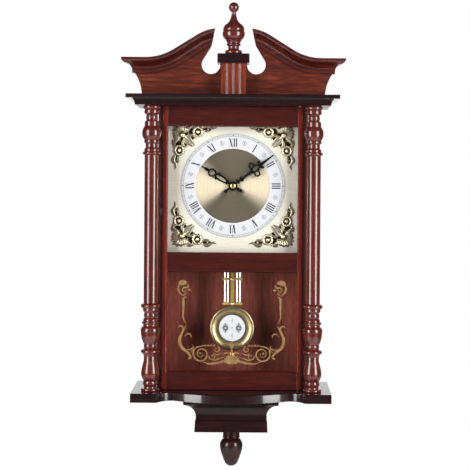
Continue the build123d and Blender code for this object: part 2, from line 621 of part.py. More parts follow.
ARBOR_R = 1.7
with BuildPart() as minute_hand:
    with BuildSketch(hand_plane(MINUTE_DEPTH, MINUTE_ANGLE)):
        Circle(6.8)
        with BuildLine():
            Polyline((-1.7, -12.5), (-1.7, 36), (1.7, 36), (1.7, -12.5), (-1.7, -12.5))
        make_face()
        with Locations((0, -13.6)):
            Circle(2.9)
        with Locations((0, 9.8)):
            Ellipse(3.8, 2.0)
        with Locations((0, 16.6)):
            Ellipse(4.0, 2.8)
        # Crossed bars carry two rings and meet again under the barbs.
        for hand in (-1, 1):
            with BuildLine():
                Polyline((0, 32.8), (hand * 8.8, 39.8), (0, 54.4), (0, 49.4), (hand * 4.4, 41.2),
                         (0, 37.8), (0, 32.8))
            make_face()
            with Locations((hand * 7.4, 40.4)):
                Circle(4.9)
            with BuildLine():
                Polyline((0, 55.4), (hand * 3.2, 53.4), (hand * 6.2, 55.8), (hand * 7.2, 51.8),
                         (hand * 3.6, 49.2), (0, 50.4), (0, 55.4))
            make_face()
        with Locations((-7.4, 40.4), (7.4, 40.4)):
            Circle(2.3, mode=Mode.SUBTRACT)
        with BuildLine():
            Polyline((-2.5, 52), (-0.9, 76.5), (0.9, 76.5), (2.5, 52), (-2.5, 52))
        make_face()
        Circle(ARBOR_R, mode=Mode.SUBTRACT)
    extrude(amount=HAND_THICK)

# The domed brass cap that holds the minute hand on its arbor.
CAP_BACK = MINUTE_DEPTH + HAND_THICK
with BuildPart() as hand_cap:
    cap_stations = [(-CAP_BACK, 4.3), (-CAP_BACK - 0.6, 4.3), (-CAP_BACK - 2.8, 0)]
    revolve(half_section(cap_stations, facing(DIAL_Z)), axis=forward_axis(0, DIAL_Z))

# ---------------------------------------------------------------- the movement

# The front shell: a tray open to the back, with the battery bay across its top.
SHELL_HALF = 40.0
SHELL_Z = (-139.0, -51.0)
SHELL_DEPTH = (28.6, 55.0)
WALL = 1.6
BATTERY_Z = -60.3
TRAY_FRONT = SHELL_DEPTH[1] - WALL
BAY_FRONT = 43.6
GEAR_PLATE = (41.8, 43.4)
POSTS = [(-35.5, -107.5), (-35.5, -72.5), (20.0, -107.5), (20.0, -72.5)]
BUSHING_BORE_R = HOUR_TUBE_R + 0.05
with BuildPart() as movement_case:
    slab((-SHELL_HALF, SHELL_HALF), SHELL_Z, SHELL_DEPTH)
    slab((-SHELL_HALF + WALL, SHELL_HALF - WALL), (SHELL_Z[0] + WALL, SHELL_Z[1] - WALL),
         (BAY_FRONT + 1.2, TRAY_FRONT), mode=Mode.SUBTRACT)
    slab((-SHELL_HALF + WALL, SHELL_HALF - WALL), (SHELL_Z[0] + WALL, -69.4),
         (SHELL_DEPTH[0], BAY_FRONT + 1.2), mode=Mode.SUBTRACT)
    slab((-27, 27), (-68.2, SHELL_Z[1] - WALL), (SHELL_DEPTH[0], BAY_FRONT), mode=Mode.SUBTRACT)
    rod(0, DIAL_Z, (TRAY_FRONT, NUT[1]), BUSHING_R)
    rod(0, DIAL_Z, (TRAY_FRONT, NUT[1]), BUSHING_BORE_R, mode=Mode.SUBTRACT)
    rod(0, MOTION_Z, (48.4, TRAY_FRONT), 1.0)
    rod(0, LEVER_Z, (40.6, TRAY_FRONT), 0.8)
    for x, z in POSTS:
        rod(x, z, (GEAR_PLATE[1], TRAY_FRONT), 2.0)
    slab((-12, 12), (SHELL_Z[0], SHELL_Z[0] + WALL), (40.5, 50.5), mode=Mode.SUBTRACT)
    rod(THIRD_X, DIAL_Z, (TRAY_FRONT - 2.0, TRAY_FRONT), 2.0)
    rod(THIRD_X, DIAL_Z, (TRAY_FRONT - 2.0, TRAY_FRONT - 0.4), 0.56, mode=Mode.SUBTRACT)

BUTTON = (28.0, -122.0)
with BuildPart() as movement_cover:
    slab((-SHELL_HALF, SHELL_HALF), SHELL_Z, (27.0, SHELL_DEPTH[0]))
    slab((-27, 27), (BATTERY_Z - 7.6, BATTERY_Z + 7.6), (27.0, SHELL_DEPTH[0]), mode=Mode.SUBTRACT)
    rod(*BUTTON, (27.0, SHELL_DEPTH[0]), 2.6, mode=Mode.SUBTRACT)

with BuildPart() as battery:
    with Locations(Location((-0.7, -36.2, BATTERY_Z), (0, 90, 0))):
        Cylinder(7.1, 48.6)
    with Locations(Location((24.2, -36.2, BATTERY_Z), (0, 90, 0))):
        Cylinder(2.7, 1.2)

with BuildPart() as battery_contacts:
    for x in ((-27.0, -25.4), (25.0, 27.0)):
        slab(x, (BATTERY_Z - 5, BATTERY_Z + 5), (31.2, 41.2))

with BuildPart() as gear_plate:
    slab((-38, 23), (-110, -70), GEAR_PLATE)
    rod(0, DIAL_Z, GEAR_PLATE, 0.86, mode=Mode.SUBTRACT)
    rod(THIRD_X, DIAL_Z, GEAR_PLATE, 0.56, mode=Mode.SUBTRACT)

# The circuit board, with the setting switch under the button.
BOARD_BACK = 36.4
with BuildPart() as circuit_board:
    slab((-34, 36), (-134, -72), (BOARD_BACK, BOARD_BACK + 1.6))
    slab((BUTTON[0] - 3, BUTTON[0] + 3), (BUTTON[1] - 3, BUTTON[1] + 3), (BOARD_BACK - 2.9, BOARD_BACK))

with BuildPart() as drive_coil:
    rod(0, -114.0, (BOARD_BACK + 1.6, 41.4), 5.0)
    rod(0, -114.0, (BOARD_BACK + 1.6, 41.4), 2.0, mode=Mode.SUBTRACT)

# The step motor: a coil on a stator, closed round its rotor.
with BuildPart() as step_motor:
    slab((-34, -13), (-124, -114.5), (47.0, TRAY_FRONT))
    with Locations(Location((-23.5, -46.5, -130.6), (0, 90, 0))):
        Cylinder(4.0, 18.0)
    slab((-26, -21), (-127.5, -123.5), (44.5, 49.5))

with BuildPart() as set_button:
    rod(*BUTTON, (25.4, 32.0), 2.4)
    rod(*BUTTON, (29.0, 30.4), 3.6)

CENTRE_PLANE = (46.4, 47.8)
CANNON_PLANE = (49.0, 50.4)
HOUR_PLANE = (51.2, 52.8)
centre_turn = 90 + 180 / CENTRE_TEETH
with BuildPart() as minute_wheel:
    rod(0, DIAL_Z, (43.6, CAP_BACK), ARBOR_R)
    rod(0, DIAL_Z, (41.6, 43.6), 0.8)
    place(gear(CENTRE_TEETH, TRAIN_MODULE, centre_turn),
          Plane((0, -CENTRE_PLANE[0], DIAL_Z), (1, 0, 0), (0, -1, 0)),
          CENTRE_PLANE[1] - CENTRE_PLANE[0])
    place(gear(CANNON_TEETH, MOTION_MODULE, 0), Plane((0, -CANNON_PLANE[0], DIAL_Z), (1, 0, 0), (0, -1, 0)),
          CANNON_PLANE[1] - CANNON_PLANE[0])

with BuildPart() as motion_wheel:
    motion_centre = (0, MOTION_Z)
    place(gear(MOTION_TEETH, MOTION_MODULE, 180 / MOTION_TEETH),
          Plane((0, -CANNON_PLANE[0], MOTION_Z), (1, 0, 0), (0, -1, 0)), CANNON_PLANE[1] - CANNON_PLANE[0])
    rod(*motion_centre, (CANNON_PLANE[1], HOUR_PLANE[0]), 2.2)
    place(gear(MOTION_PINION_TEETH, HOUR_MODULE, 0),
          Plane((0, -HOUR_PLANE[0], MOTION_Z), (1, 0, 0), (0, -1, 0)), HOUR_PLANE[1] - HOUR_PLANE[0])
    rod(*motion_centre, (CANNON_PLANE[0], HOUR_PLANE[1]), 1.06, mode=Mode.SUBTRACT)

with BuildPart() as hour_wheel:
    place(gear(HOUR_TEETH, HOUR_MODULE, 180 / HOUR_TEETH),
          Plane((0, -HOUR_PLANE[0], DIAL_Z), (1, 0, 0), (0, -1, 0)), HOUR_PLANE[1] - HOUR_PLANE[0])
    rod(0, DIAL_Z, (HOUR_PLANE[0], HOUR_DEPTH + HAND_THICK), HOUR_TUBE_R)
    rod(0, DIAL_Z, (HOUR_PLANE[0], HOUR_DEPTH + HAND_THICK), ARBOR_R + 0.06, mode=Mode.SUBTRACT)

with BuildPart() as third_wheel:
    place(gear(THIRD_PINION_TEETH, TRAIN_MODULE, 90),
          Plane((THIRD_X, -CENTRE_PLANE[0] + 0.4, DIAL_Z), (1, 0, 0), (0, -1, 0)), 2.2)
    place(gear(THIRD_TEETH, TRAIN_MODULE), Plane((THIRD_X, -44.2, DIAL_Z), (1, 0, 0), (0, -1, 0)), 1.4)
    rod(THIRD_X, DIAL_Z, (45.0, 51.2), 0.9)
    rod(THIRD_X, DIAL_Z, (42.0, 52.8), 0.5)

# ---------------------------------------------------------------- the pendulum

# The lever rocks on its pin; a magnet over the drive coil pushes it and its peg carries the pendulum.
HOOK_Z = -145.0
with BuildPart() as pendulum_lever:
    rod(0, LEVER_Z, (42.6, 45.6), 4.0)
    slab((-3, 3), (HOOK_Z - 3, -114), (42.6, 45.6))
    rod(0, -114, (41.9, 45.6), 3.2)
    rod(0, HOOK_Z, (45.6, 49.0), 1.7)
    rod(0, HOOK_Z, (49.0, 49.8), 2.6)
    rod(0, LEVER_Z, (42.6, 45.6), 0.86, mode=Mode.SUBTRACT)

STRIP_HALF = 2.6
STRIP_FOOT = -341.0
with BuildPart() as pendulum_strip:
    slab((-STRIP_HALF - 1.2, STRIP_HALF + 1.2), (HOOK_Z - 5, HOOK_Z + 4), STRIP)
    slab((-STRIP_HALF, STRIP_HALF), (STRIP_FOOT, HOOK_Z - 4), STRIP)
    rod(0, HOOK_Z, STRIP, 1.75, mode=Mode.SUBTRACT)
    with Locations((0, -sum(STRIP) / 2, STRIP_FOOT - 6)):
        Cylinder(1.2, 14.0)

ROD_R = 1.35
ROD_XS = (-11.5, -6.8, 6.8, 11.5)
BAR_ZS = (-162.0, -232.4, -269.7)
with BuildPart() as pendulum_rods:
    for x in ROD_XS:
        with Locations((x, -STRIP[1] + ROD_R, (BAR_ZS[0] + BAR_ZS[2]) / 2)):
            Cylinder(ROD_R, BAR_ZS[0] - BAR_ZS[2] + 3)

with BuildPart() as crossbars:
    for z in BAR_ZS:
        slab((-14.2, 14.2), (z - 1.7, z + 1.7), (STRIP[1], STRIP[1] + 1.6))
        rod(0, z, (STRIP[1], STRIP[1] + 2.3), 2.4)

# The bob: a spun dish with a raised rim, bored for the enamelled face.
FACE_R = 20.0
bob_back = STRIP[1]
with BuildPart() as bob_shell:
    with BuildSketch(facing(BOB_Z)):
        with BuildLine():
            Polyline((0, -bob_back), (32.4, -bob_back))
            SagittaArc((32.4, -bob_back), (30.2, -bob_back - 5.4), 2.6)
            Line((30.2, -bob_back - 5.4), (29.4, -bob_back - 4.6))
            SagittaArc((29.4, -bob_back - 4.6), (FACE_R + 0.6, -bob_back - 2.4), -0.7)
            Polyline((FACE_R + 0.6, -bob_back - 2.4), (FACE_R, -bob_back - 2.4), (FACE_R, -bob_back - 1.0),
                     (0, -bob_back - 1.0), (0, -bob_back))
        make_face()
    revolve(axis=forward_axis(0, BOB_Z))

with BuildPart() as bob_face:
    rod(0, BOB_Z, (bob_back + 1.0, bob_back + 1.8), FACE_R - 0.1)

with BuildPart() as rating_nut:
    with Locations((0, -sum(STRIP) / 2, STRIP_FOOT - 4.5)):
        Cylinder(4.2, 4.0)
        Cylinder(1.2, 4.0, mode=Mode.SUBTRACT)

for made, made_name in (
        (base_shelf, "base_shelf"), (corbel, "corbel"), (drop_finial, "drop_finial"),
        (back_panel, "back_panel"), (hanging_rail, "hanging_rail"), (hanger_plate, "hanger_plate"),
        (wood_screws, "wood_screws"), (wall_bumpers, "wall_bumpers"), (case_roof, "case_roof"),
        (cornice_plate, "cornice_plate"), (cornice_moulding, "cornice_moulding"),
        (pediment_board, "pediment_board"), (pediment_moulding_left, "pediment_moulding_left"),
        (pediment_moulding_right, "pediment_moulding_right"), (keystone, "keystone"),
        (plinth_cap, "plinth_cap"), (top_finial, "top_finial"), (door_stiles, "door_stiles"),
        (door_rails, "door_rails"), (door_glass, "door_glass"), (glazing_beads, "glazing_beads"),
        (door_pins, "door_pins"), (pivot_bushes, "pivot_bushes"), (catch_magnet, "catch_magnet"),
        (strike_plate, "strike_plate"), (door_pull, "door_pull"), (dial_cleats, "dial_cleats"),
        (dial_board, "dial_board"), (dial_plate, "dial_plate"), (chapter_ring, "chapter_ring"),
        (centre_disc, "centre_disc"), (spandrels, "spandrels"), (fixing_nut, "fixing_nut"),
        (hour_hand, "hour_hand"), (minute_hand, "minute_hand"), (hand_cap, "hand_cap"),
        (movement_case, "movement_case"), (movement_cover, "movement_cover"), (battery, "battery"),
        (battery_contacts, "battery_contacts"), (gear_plate, "gear_plate"),
        (circuit_board, "circuit_board"), (drive_coil, "drive_coil"), (step_motor, "step_motor"),
        (set_button, "set_button"), (minute_wheel, "minute_wheel"), (motion_wheel, "motion_wheel"),
        (hour_wheel, "hour_wheel"), (third_wheel, "third_wheel"), (pendulum_lever, "pendulum_lever"),
        (pendulum_strip, "pendulum_strip"), (pendulum_rods, "pendulum_rods"), (crossbars, "crossbars"),
        (bob_shell, "bob_shell"), (bob_face, "bob_face"), (rating_nut, "rating_nut")):
    finish(made, made_name)
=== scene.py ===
"""A pendulum wall clock in lacquered wood, with a brass and white dial. Metres, +Z up, front to -Y."""
from math import cos, log, pi, radians, sin
import bmesh
import bpy
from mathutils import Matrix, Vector


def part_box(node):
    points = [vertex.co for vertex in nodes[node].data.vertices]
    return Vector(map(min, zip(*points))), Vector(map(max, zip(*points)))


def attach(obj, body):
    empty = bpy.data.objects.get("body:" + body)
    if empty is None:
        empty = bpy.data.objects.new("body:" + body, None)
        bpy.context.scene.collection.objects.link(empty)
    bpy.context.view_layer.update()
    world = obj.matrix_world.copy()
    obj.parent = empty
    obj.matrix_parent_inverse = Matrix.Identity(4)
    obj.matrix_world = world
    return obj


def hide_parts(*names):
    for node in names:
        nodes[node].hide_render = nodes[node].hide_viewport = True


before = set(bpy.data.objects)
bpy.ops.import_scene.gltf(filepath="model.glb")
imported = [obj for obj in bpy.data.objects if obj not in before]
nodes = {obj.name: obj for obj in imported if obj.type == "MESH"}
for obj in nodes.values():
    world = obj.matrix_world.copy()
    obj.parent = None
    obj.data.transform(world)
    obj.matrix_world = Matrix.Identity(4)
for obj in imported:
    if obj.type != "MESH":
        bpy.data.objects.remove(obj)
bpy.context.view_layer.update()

# ---- The case: sides, roof, back panel, rails and dial board. Boards of stained hardwood, planed,
# glued and sprayed with a thin satin lacquer inside. The grain runs up the sides and the back.
MM = 0.001


def linear(code):
    """An sRGB hex colour as linear red, green, blue and 1."""
    parts = [int(code[i:i + 2], 16) / 255 for i in (0, 2, 4)]
    return tuple(c / 12.92 if c <= 0.04045 else ((c + 0.055) / 1.055) ** 2.4 for c in parts) + (1.0,)


def per(mm):
    """A pattern's scale, which is in repeats to the metre, for a feature of this many millimetres."""
    return 1 / (mm * MM)


def add(tree, kind, inputs=None, stops=(), **settings):
    """Adds a node with its settings. An input is a value or another node's output, and a ramp takes
    its stops as (place, hex) pairs."""
    made = tree.nodes.new("ShaderNode" + kind)
    for name, value in settings.items():
        setattr(made, name, value)
    for key, value in (inputs or {}).items():
        if isinstance(value, bpy.types.NodeSocket):
            tree.links.new(value, made.inputs[key])
        else:
            made.inputs[key].default_value = value
    if stops:
        marks = made.color_ramp.elements
        for _ in stops[2:]:
            marks.new(0.5)
        for mark, (place, code) in zip(marks, stops):
            mark.position = place
            mark.color = linear(code)
    return made


def new_material(name):
    """An empty material and its node tree."""
    made = bpy.data.materials.new(name)
    made.use_nodes = True
    made.node_tree.nodes.clear()
    return made, made.node_tree


def lacquered_timber(name, dark, middle, pale, along, gloss=1.0, figure=1.0):
    """Stained hardwood under lacquer. Growth bands come every 10.5 mm, streaks every 2.4 mm and pores
    every 0.7 mm, all drawn out along the fibres. The lacquer over them is smooth, so the wood shows
    depth and a clear gloss."""
    made, tree = new_material(name)
    place = add(tree, "TexCoord").outputs["Object"]
    stretch = [1.0, 1.0, 1.0]
    stretch["XYZ".index(along)] = 0.09
    fibre = add(tree, "Mapping", {"Vector": place, "Scale": stretch}).outputs[0]
    bands = add(tree, "TexNoise", {"Vector": fibre, "Scale": per(10.53), "Detail": 5.0, "Roughness": 0.62,
                                   "Distortion": 0.9 * figure}).outputs["Fac"]
    streaks = add(tree, "TexNoise", {"Vector": fibre, "Scale": per(2.38), "Detail": 3.0}).outputs["Fac"]
    pores = add(tree, "TexNoise", {"Vector": fibre, "Scale": per(2 / 3), "Detail": 2.0}).outputs["Fac"]
    blend = add(tree, "Math", {0: bands, 1: streaks}, operation="ADD").outputs[0]
    half = add(tree, "Math", {0: blend, 1: 0.5}, operation="MULTIPLY").outputs[0]
    stain = add(tree, "ValToRGB", {"Fac": half},
                stops=[(0.34, dark), (0.5, middle), (0.66, pale)]).outputs[0]
    open_pore = add(tree, "MapRange", {"Value": pores, "From Min": 0.30, "From Max": 0.46, "To Min": 0.72,
                                       "To Max": 1.0}).outputs[0]
    colour = add(tree, "VectorMath", {0: stain, 1: open_pore}, operation="MULTIPLY").outputs[0]
    edge = add(tree, "Bevel", {"Radius": 0.5 * MM}, samples=4).outputs[0]
    relief = add(tree, "Bump", {"Height": open_pore, "Strength": 0.12, "Distance": 0.1 * MM,
                                "Normal": edge}).outputs[0]
    rough = add(tree, "MapRange", {"Value": bands, "To Min": 0.30, "To Max": 0.44}).outputs[0]
    shader = add(tree, "BsdfPrincipled", {
        "Base Color": colour, "Roughness": rough, "Normal": relief, "Coat Normal": edge, "IOR": 1.5,
        "Specular IOR Level": 0.15, "Coat Weight": gloss, "Coat Roughness": 0.1, "Coat IOR": 1.5})
    add(tree, "OutputMaterial", {"Surface": shader.outputs[0]})
    return made


def dress(material, *names):
    """Gives CAD nodes their material."""
    for name in names:
        mesh = nodes[name].data
        mesh.materials.clear()
        mesh.materials.append(material)


dress(lacquered_timber("case_wood_upright", "6f382f", "84463b", "965447", "Z", gloss=0.3),
      "case_side_left", "case_side_right", "back_panel", "dial_cleats")
dress(lacquered_timber("case_wood_across", "5c2c22", "6f382c", "804538", "X", gloss=0.35),
      "hanging_rail", "case_roof", "dial_board")

# ---- Hanger plate, wood screws and strike plate: stamped and turned mild steel, plated with bright
# zinc. The plate is screwed over a pocket in the top rail, and the clock hangs by its keyhole.


def zinc_plated_steel():
    """Bright zinc plate looks pale and half polished, and clouds over in soft grey patches 2.5 mm wide."""
    made, tree = new_material("zinc_plated_steel")
    place = add(tree, "TexCoord").outputs["Object"]
    clouds = add(tree, "TexNoise", {"Vector": place, "Scale": per(2.5), "Detail": 4.0}).outputs["Fac"]
    colour = add(tree, "ValToRGB", {"Fac": clouds}, stops=[(0.3, "9a9c9e"), (0.7, "c4c6c6")]).outputs[0]
    rough = add(tree, "MapRange", {"Value": clouds, "To Min": 0.26, "To Max": 0.42}).outputs[0]
    shader = add(tree, "BsdfPrincipled", {"Base Color": colour, "Roughness": rough, "Metallic": 1.0})
    add(tree, "OutputMaterial", {"Surface": shader.outputs[0]})
    return made


dress(zinc_plated_steel(), "hanger_plate", "wood_screws", "strike_plate")

# ---- Wall bumpers: moulded black nitrile rubber pads, glued to the foot of the case so that it
# stands level and doesn't mark the wall.


def grained(name, dark, pale, grain_mm, roughness, bump=0.15):
    """A moulded or pressed surface. The tool leaves a fine grain that softens the light on it, and
    the colour drifts between two close shades in blotches 11 mm wide."""
    made, tree = new_material(name)
    place = add(tree, "TexCoord").outputs["Object"]
    grain = add(tree, "TexNoise", {"Vector": place, "Scale": per(grain_mm), "Detail": 2.0}).outputs["Fac"]
    blotch = add(tree, "TexNoise", {"Vector": place, "Scale": per(11.1), "Detail": 3.0}).outputs["Fac"]
    colour = add(tree, "ValToRGB", {"Fac": blotch}, stops=[(0.3, dark), (0.7, pale)]).outputs[0]
    relief = add(tree, "Bump", {"Height": grain, "Strength": bump, "Distance": 0.1 * MM}).outputs[0]
    shader = add(tree, "BsdfPrincipled", {"Base Color": colour, "Normal": relief, "Roughness": roughness})
    add(tree, "OutputMaterial", {"Surface": shader.outputs[0]})
    return made


# Moulded rubber is dull and takes almost no highlight.
dress(grained("nitrile_rubber", "141414", "1e1d1d", 0.4, 0.75), "wall_bumpers")

# ---- Base shelf, corbel and cornice: hardwood stained almost black-red and lacquered. The moulded
# edges are run on a spindle, so the grain follows the width.

# Flat boards take a full gloss, which mirrors the lights over the near-black stain.
dress(lacquered_timber("dark_stained_wood_across", "100406", "190709", "230a0c", "X"),
      "base_shelf", "cornice_plate")
# Mouldings are harder to rub down between coats, so they keep a softer sheen.
dress(lacquered_timber("dark_stained_moulding_wood", "100406", "190709", "230a0c", "X", gloss=0.35),
      "corbel", "cornice_moulding", "plinth_cap")

# ---- Columns and finials: turned on a lathe from the same hardwood, stained red-brown and lacquered
# while they spin, and fixed at their ends.

# A coat laid on while the wood spins is even and deep, so each bead carries a bright line.
dress(lacquered_timber("turned_wood_upright", "36110e", "4d1813", "61241b", "Z"),
      "column_left", "column_right", "top_finial")
# The drop finial is stained almost as dark as the corbel above it and has a softer sheen.
dress(lacquered_timber("dark_turned_wood_upright", "170405", "220708", "2e0b0c", "Z", gloss=0.45),
      "drop_finial")

# ---- Pediment: a board sawn to the swan-neck outline, its two crown mouldings and the keystone,
# glued on top of the cornice.

# The board is cut from a paler, wilder stick than the rest, so its figure shows in broad waves.
dress(lacquered_timber("figured_wood_across", "36130c", "4e1d12", "6b2f1c", "X", figure=2.2),
      "pediment_board")
# The mouldings and the keystone share the full gloss; one is darker than the board, the other paler.
dress(lacquered_timber("crown_moulding_wood", "260a07", "3a100b", "4e1911", "X"),
      "pediment_moulding_left", "pediment_moulding_right")
dress(lacquered_timber("keystone_wood", "45180e", "632514", "7e361f", "Z"), "keystone")

# ---- Movement: a moulded ABS tray and cover hold a gear plate, wheels, a circuit board and the
# pendulum's drive. It is held in the dial board by its bushing and a nut. The door's magnet is
# here too, because pressed ferrite has the same kind of surface.

# ABS moulded against an eroded tool is black with a satin grain.
dress(grained("black_abs", "121212", "1b1b1c", 0.5, 0.45),
      "movement_case", "movement_cover", "pendulum_lever", "set_button")
# Acetal is naturally milky white, smooth and a little waxy.
dress(grained("white_acetal", "c9c6bc", "dcd9d0", 0.6, 0.35, bump=0.05),
      "gear_plate", "minute_wheel", "motion_wheel", "hour_wheel", "third_wheel")
# Solder mask is a glossy green lacquer over the weave of the board.
dress(grained("solder_mask_board", "0d3f21", "13532c", 0.8, 0.3), "circuit_board")
# Ferrite is pressed and fired, so it is dark grey and dull like slate.
dress(grained("ferrite", "161617", "222223", 0.3, 0.6), "catch_magnet")

# ---- Coil, motor and battery. The coil is enamelled copper wire wound side by side on a bobbin, and
# the battery is a steel can in a printed plastic sleeve of plain colours with no lettering.


def enamelled_copper():
    """Wound wire shows as even copper ridges, with a painted highlight on the crowns and painted shade
    between them. The wire is 0.2 mm thick and drawn at 2 mm to show; a wave repeats every pi / 10 of its
    own units."""
    made, tree = new_material("enamelled_copper_wire")
    place = add(tree, "TexCoord").outputs["Object"]
    turns = add(tree, "TexWave", {"Vector": place, "Scale": pi / 10 * per(1.96), "Distortion": 0.4})
    height = turns.outputs["Fac"]
    # The colour follows the ridges: a painted highlight on the crowns and painted shade in the grooves.
    colour = add(tree, "ValToRGB", {"Fac": height}, stops=[(0.0, "5a2710"), (1.0, "b8652f")]).outputs[0]
    relief = add(tree, "Bump", {"Height": height, "Strength": 0.4, "Distance": 0.1 * MM}).outputs[0]
    shader = add(tree, "BsdfPrincipled", {"Base Color": colour, "Normal": relief, "Metallic": 0.8,
                                          "Roughness": 0.35})
    add(tree, "OutputMaterial", {"Surface": shader.outputs[0]})
    return made


dress(enamelled_copper(), "drive_coil", "step_motor")


def battery_sleeve():
    """Printed shrink film is smooth, part metallic and scuffed a little: a black body and a copper
    band between bare ends. The colours run along the cell, 50.5 mm long, and scuffs are 1.7 mm."""
    made, tree = new_material("printed_battery_sleeve")
    place = add(tree, "TexCoord").outputs["Generated"]
    along = add(tree, "SeparateXYZ", {"Vector": place}).outputs["X"]
    colour = add(tree, "ValToRGB", {"Fac": along}, stops=[
        (0.0, "b9bbbc"), (0.05, "22252a"), (0.70, "22252a"), (0.72, "b07a34"), (0.95, "b07a34"),
        (0.97, "b9bbbc")]).outputs[0]
    scuffs = add(tree, "TexNoise", {"Vector": place, "Scale": 50.5 / 1.683, "Detail": 3.0}).outputs["Fac"]
    rough = add(tree, "MapRange", {"Value": scuffs, "To Min": 0.22, "To Max": 0.40}).outputs[0]
    shader = add(tree, "BsdfPrincipled", {"Base Color": colour, "Roughness": rough, "Metallic": 0.3})
    add(tree, "OutputMaterial", {"Surface": shader.outputs[0]})
    return made


dress(battery_sleeve(), "battery")

# ---- Brass small parts: pins, bushes, nuts, the hand cap and contacts, turned or stamped from
# half-hard brass, polished and left bare.


def polished_brass(name, dark, pale, smooth, dull, metallic=1.0):
    """Bare brass is warm yellow. Handling dulls it in soft patches 8 mm wide, so both colour and
    polish wander, and the polishing grit leaves a faint tooth, drawn at 0.4 mm to show."""
    made, tree = new_material(name)
    place = add(tree, "TexCoord").outputs["Object"]
    patches = add(tree, "TexNoise", {"Vector": place, "Scale": per(8.33), "Detail": 4.0}).outputs["Fac"]
    colour = add(tree, "ValToRGB", {"Fac": patches}, stops=[(0.3, dark), (0.7, pale)]).outputs[0]
    rough = add(tree, "MapRange", {"Value": patches, "To Min": smooth, "To Max": dull}).outputs[0]
    tooth = add(tree, "TexNoise", {"Vector": place, "Scale": per(0.4), "Detail": 2.0}).outputs["Fac"]
    relief = add(tree, "Bump", {"Height": tooth, "Strength": 0.08, "Distance": 0.05 * MM}).outputs[0]
    shader = add(tree, "BsdfPrincipled", {"Base Color": colour, "Roughness": rough, "Normal": relief,
                                          "Metallic": metallic})
    add(tree, "OutputMaterial", {"Surface": shader.outputs[0]})
    return made


dress(polished_brass("polished_brass", "b08a48", "d2b06a", 0.16, 0.30),
      "door_pins", "pivot_bushes", "fixing_nut", "hand_cap", "rating_nut", "battery_contacts")

# ---- Dial plate: a sheet of aluminium, blanked out, brushed across and anodised pale champagne. It
# lies on the dial board under the ring and is held by the movement's nut.


def brushed_champagne():
    """Brushed anodising is a soft metal sheen with level lines in it. The brush leaves them a few
    tenths of a millimetre apart, drawn at 0.5 mm to show, and 50 times as long."""
    made, tree = new_material("champagne_anodised_aluminium")
    place = add(tree, "TexCoord").outputs["Object"]
    drawn = add(tree, "Mapping", {"Vector": place, "Scale": (0.02, 1.0, 1.0)}).outputs[0]
    lines = add(tree, "TexNoise", {"Vector": drawn, "Scale": per(0.5), "Detail": 3.0}).outputs["Fac"]
    colour = add(tree, "ValToRGB", {"Fac": lines}, stops=[(0.3, "ddd9c8"), (0.7, "f2eee0")]).outputs[0]
    rough = add(tree, "MapRange", {"Value": lines, "To Min": 0.34, "To Max": 0.5}).outputs[0]
    shader = add(tree, "BsdfPrincipled", {"Base Color": colour, "Roughness": rough, "Metallic": 0.35})
    add(tree, "OutputMaterial", {"Surface": shader.outputs[0]})
    return made


dress(brushed_champagne(), "dial_plate")

# ---- Chapter ring: an aluminium ring sprayed satin white and screen printed, laid on the dial plate.
# Numerals are black; the minute track, the hour dots and the ornaments between numerals are grey.


def satin_enamel(name, code, warm, roughness=0.35):
    """Sprayed enamel or screened ink: one even colour with a soft gloss, and the slight orange peel
    that a sprayed coat dries with, 1.4 mm across."""
    made, tree = new_material(name)
    place = add(tree, "TexCoord").outputs["Object"]
    peel = add(tree, "TexNoise", {"Vector": place, "Scale": per(10 / 7), "Detail": 2.0}).outputs["Fac"]
    colour = add(tree, "ValToRGB", {"Fac": peel}, stops=[(0.3, code), (0.7, warm)]).outputs[0]
    relief = add(tree, "Bump", {"Height": peel, "Strength": 0.05, "Distance": 0.05 * MM}).outputs[0]
    shader = add(tree, "BsdfPrincipled", {"Base Color": colour, "Normal": relief, "Roughness": roughness,
                                          "Coat Weight": 0.3})
    add(tree, "OutputMaterial", {"Surface": shader.outputs[0]})
    return made


white_enamel = satin_enamel("satin_white_enamel", "c2c3c8", "cccdd1")
black_ink = satin_enamel("black_screen_ink", "0c0c0e", "141416", 0.4)
grey_ink = satin_enamel("grey_screen_ink", "56585c", "616368", 0.45)
pale_ink = satin_enamel("pale_grey_screen_ink", "b2b5b5", "bcbfbf", 0.45)
dress(white_enamel, "chapter_ring")

RING_LOW, RING_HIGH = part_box("chapter_ring")
DIAL_Z = (RING_LOW[2] + RING_HIGH[2]) / 2
RING_FRONT = RING_LOW[1]
# Ink stands this far off the enamel, in millimetres, and crossing strokes are told apart by a hair.
GROUND_LIFT, NUMERAL_LIFT, TRACK_LIFT, STROKE_LIFT = 0.03, 0.04, 0.05, 0.004
NUMERAL_TALL, NUMERAL_RADIUS, FLOWER_RADIUS = 13.0, 65.0, 66.0
SERIF_TALL = 0.3
TRACK_GROUND, TRACK_INNER, TRACK_OUTER = (74.6, 78.6), (74.2, 74.6), (77.5, 77.8)
MINUTE_MARK, HOUR_DOT_RADIUS = (75.0, 77.6), 75.6


def made_from(form, name, material, rounded=True):
    """Turns a finished bmesh into an object with its material."""
    mesh = bpy.data.meshes.new(name)
    form.to_mesh(mesh)
    form.free()
    for face in mesh.polygons:
        face.use_smooth = rounded
    made = bpy.data.objects.new(name, mesh)
    bpy.context.scene.collection.objects.link(made)
    made.data.materials.append(material)
    return made


def flat_piece(name, strokes, y, material, body):
    """Flat print. Strokes are lists of (x, z) polygons in millimetres, and each of twelve strokes lies
    a hair above the last, so that two which cross don't share a plane."""
    form = bmesh.new()
    for k, stroke in enumerate(strokes):
        for polygon in stroke:
            corners = [(x * MM, y - k % 12 * STROKE_LIFT * MM, z * MM) for x, z in polygon]
            form.faces.new([form.verts.new(corner) for corner in corners])
    bmesh.ops.triangulate(form, faces=form.faces)
    for face in form.faces:
        face.normal_update()
        if face.normal.y > 0:
            face.normal_flip()
    made = made_from(form, name, material, rounded=False)
    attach(made, body)


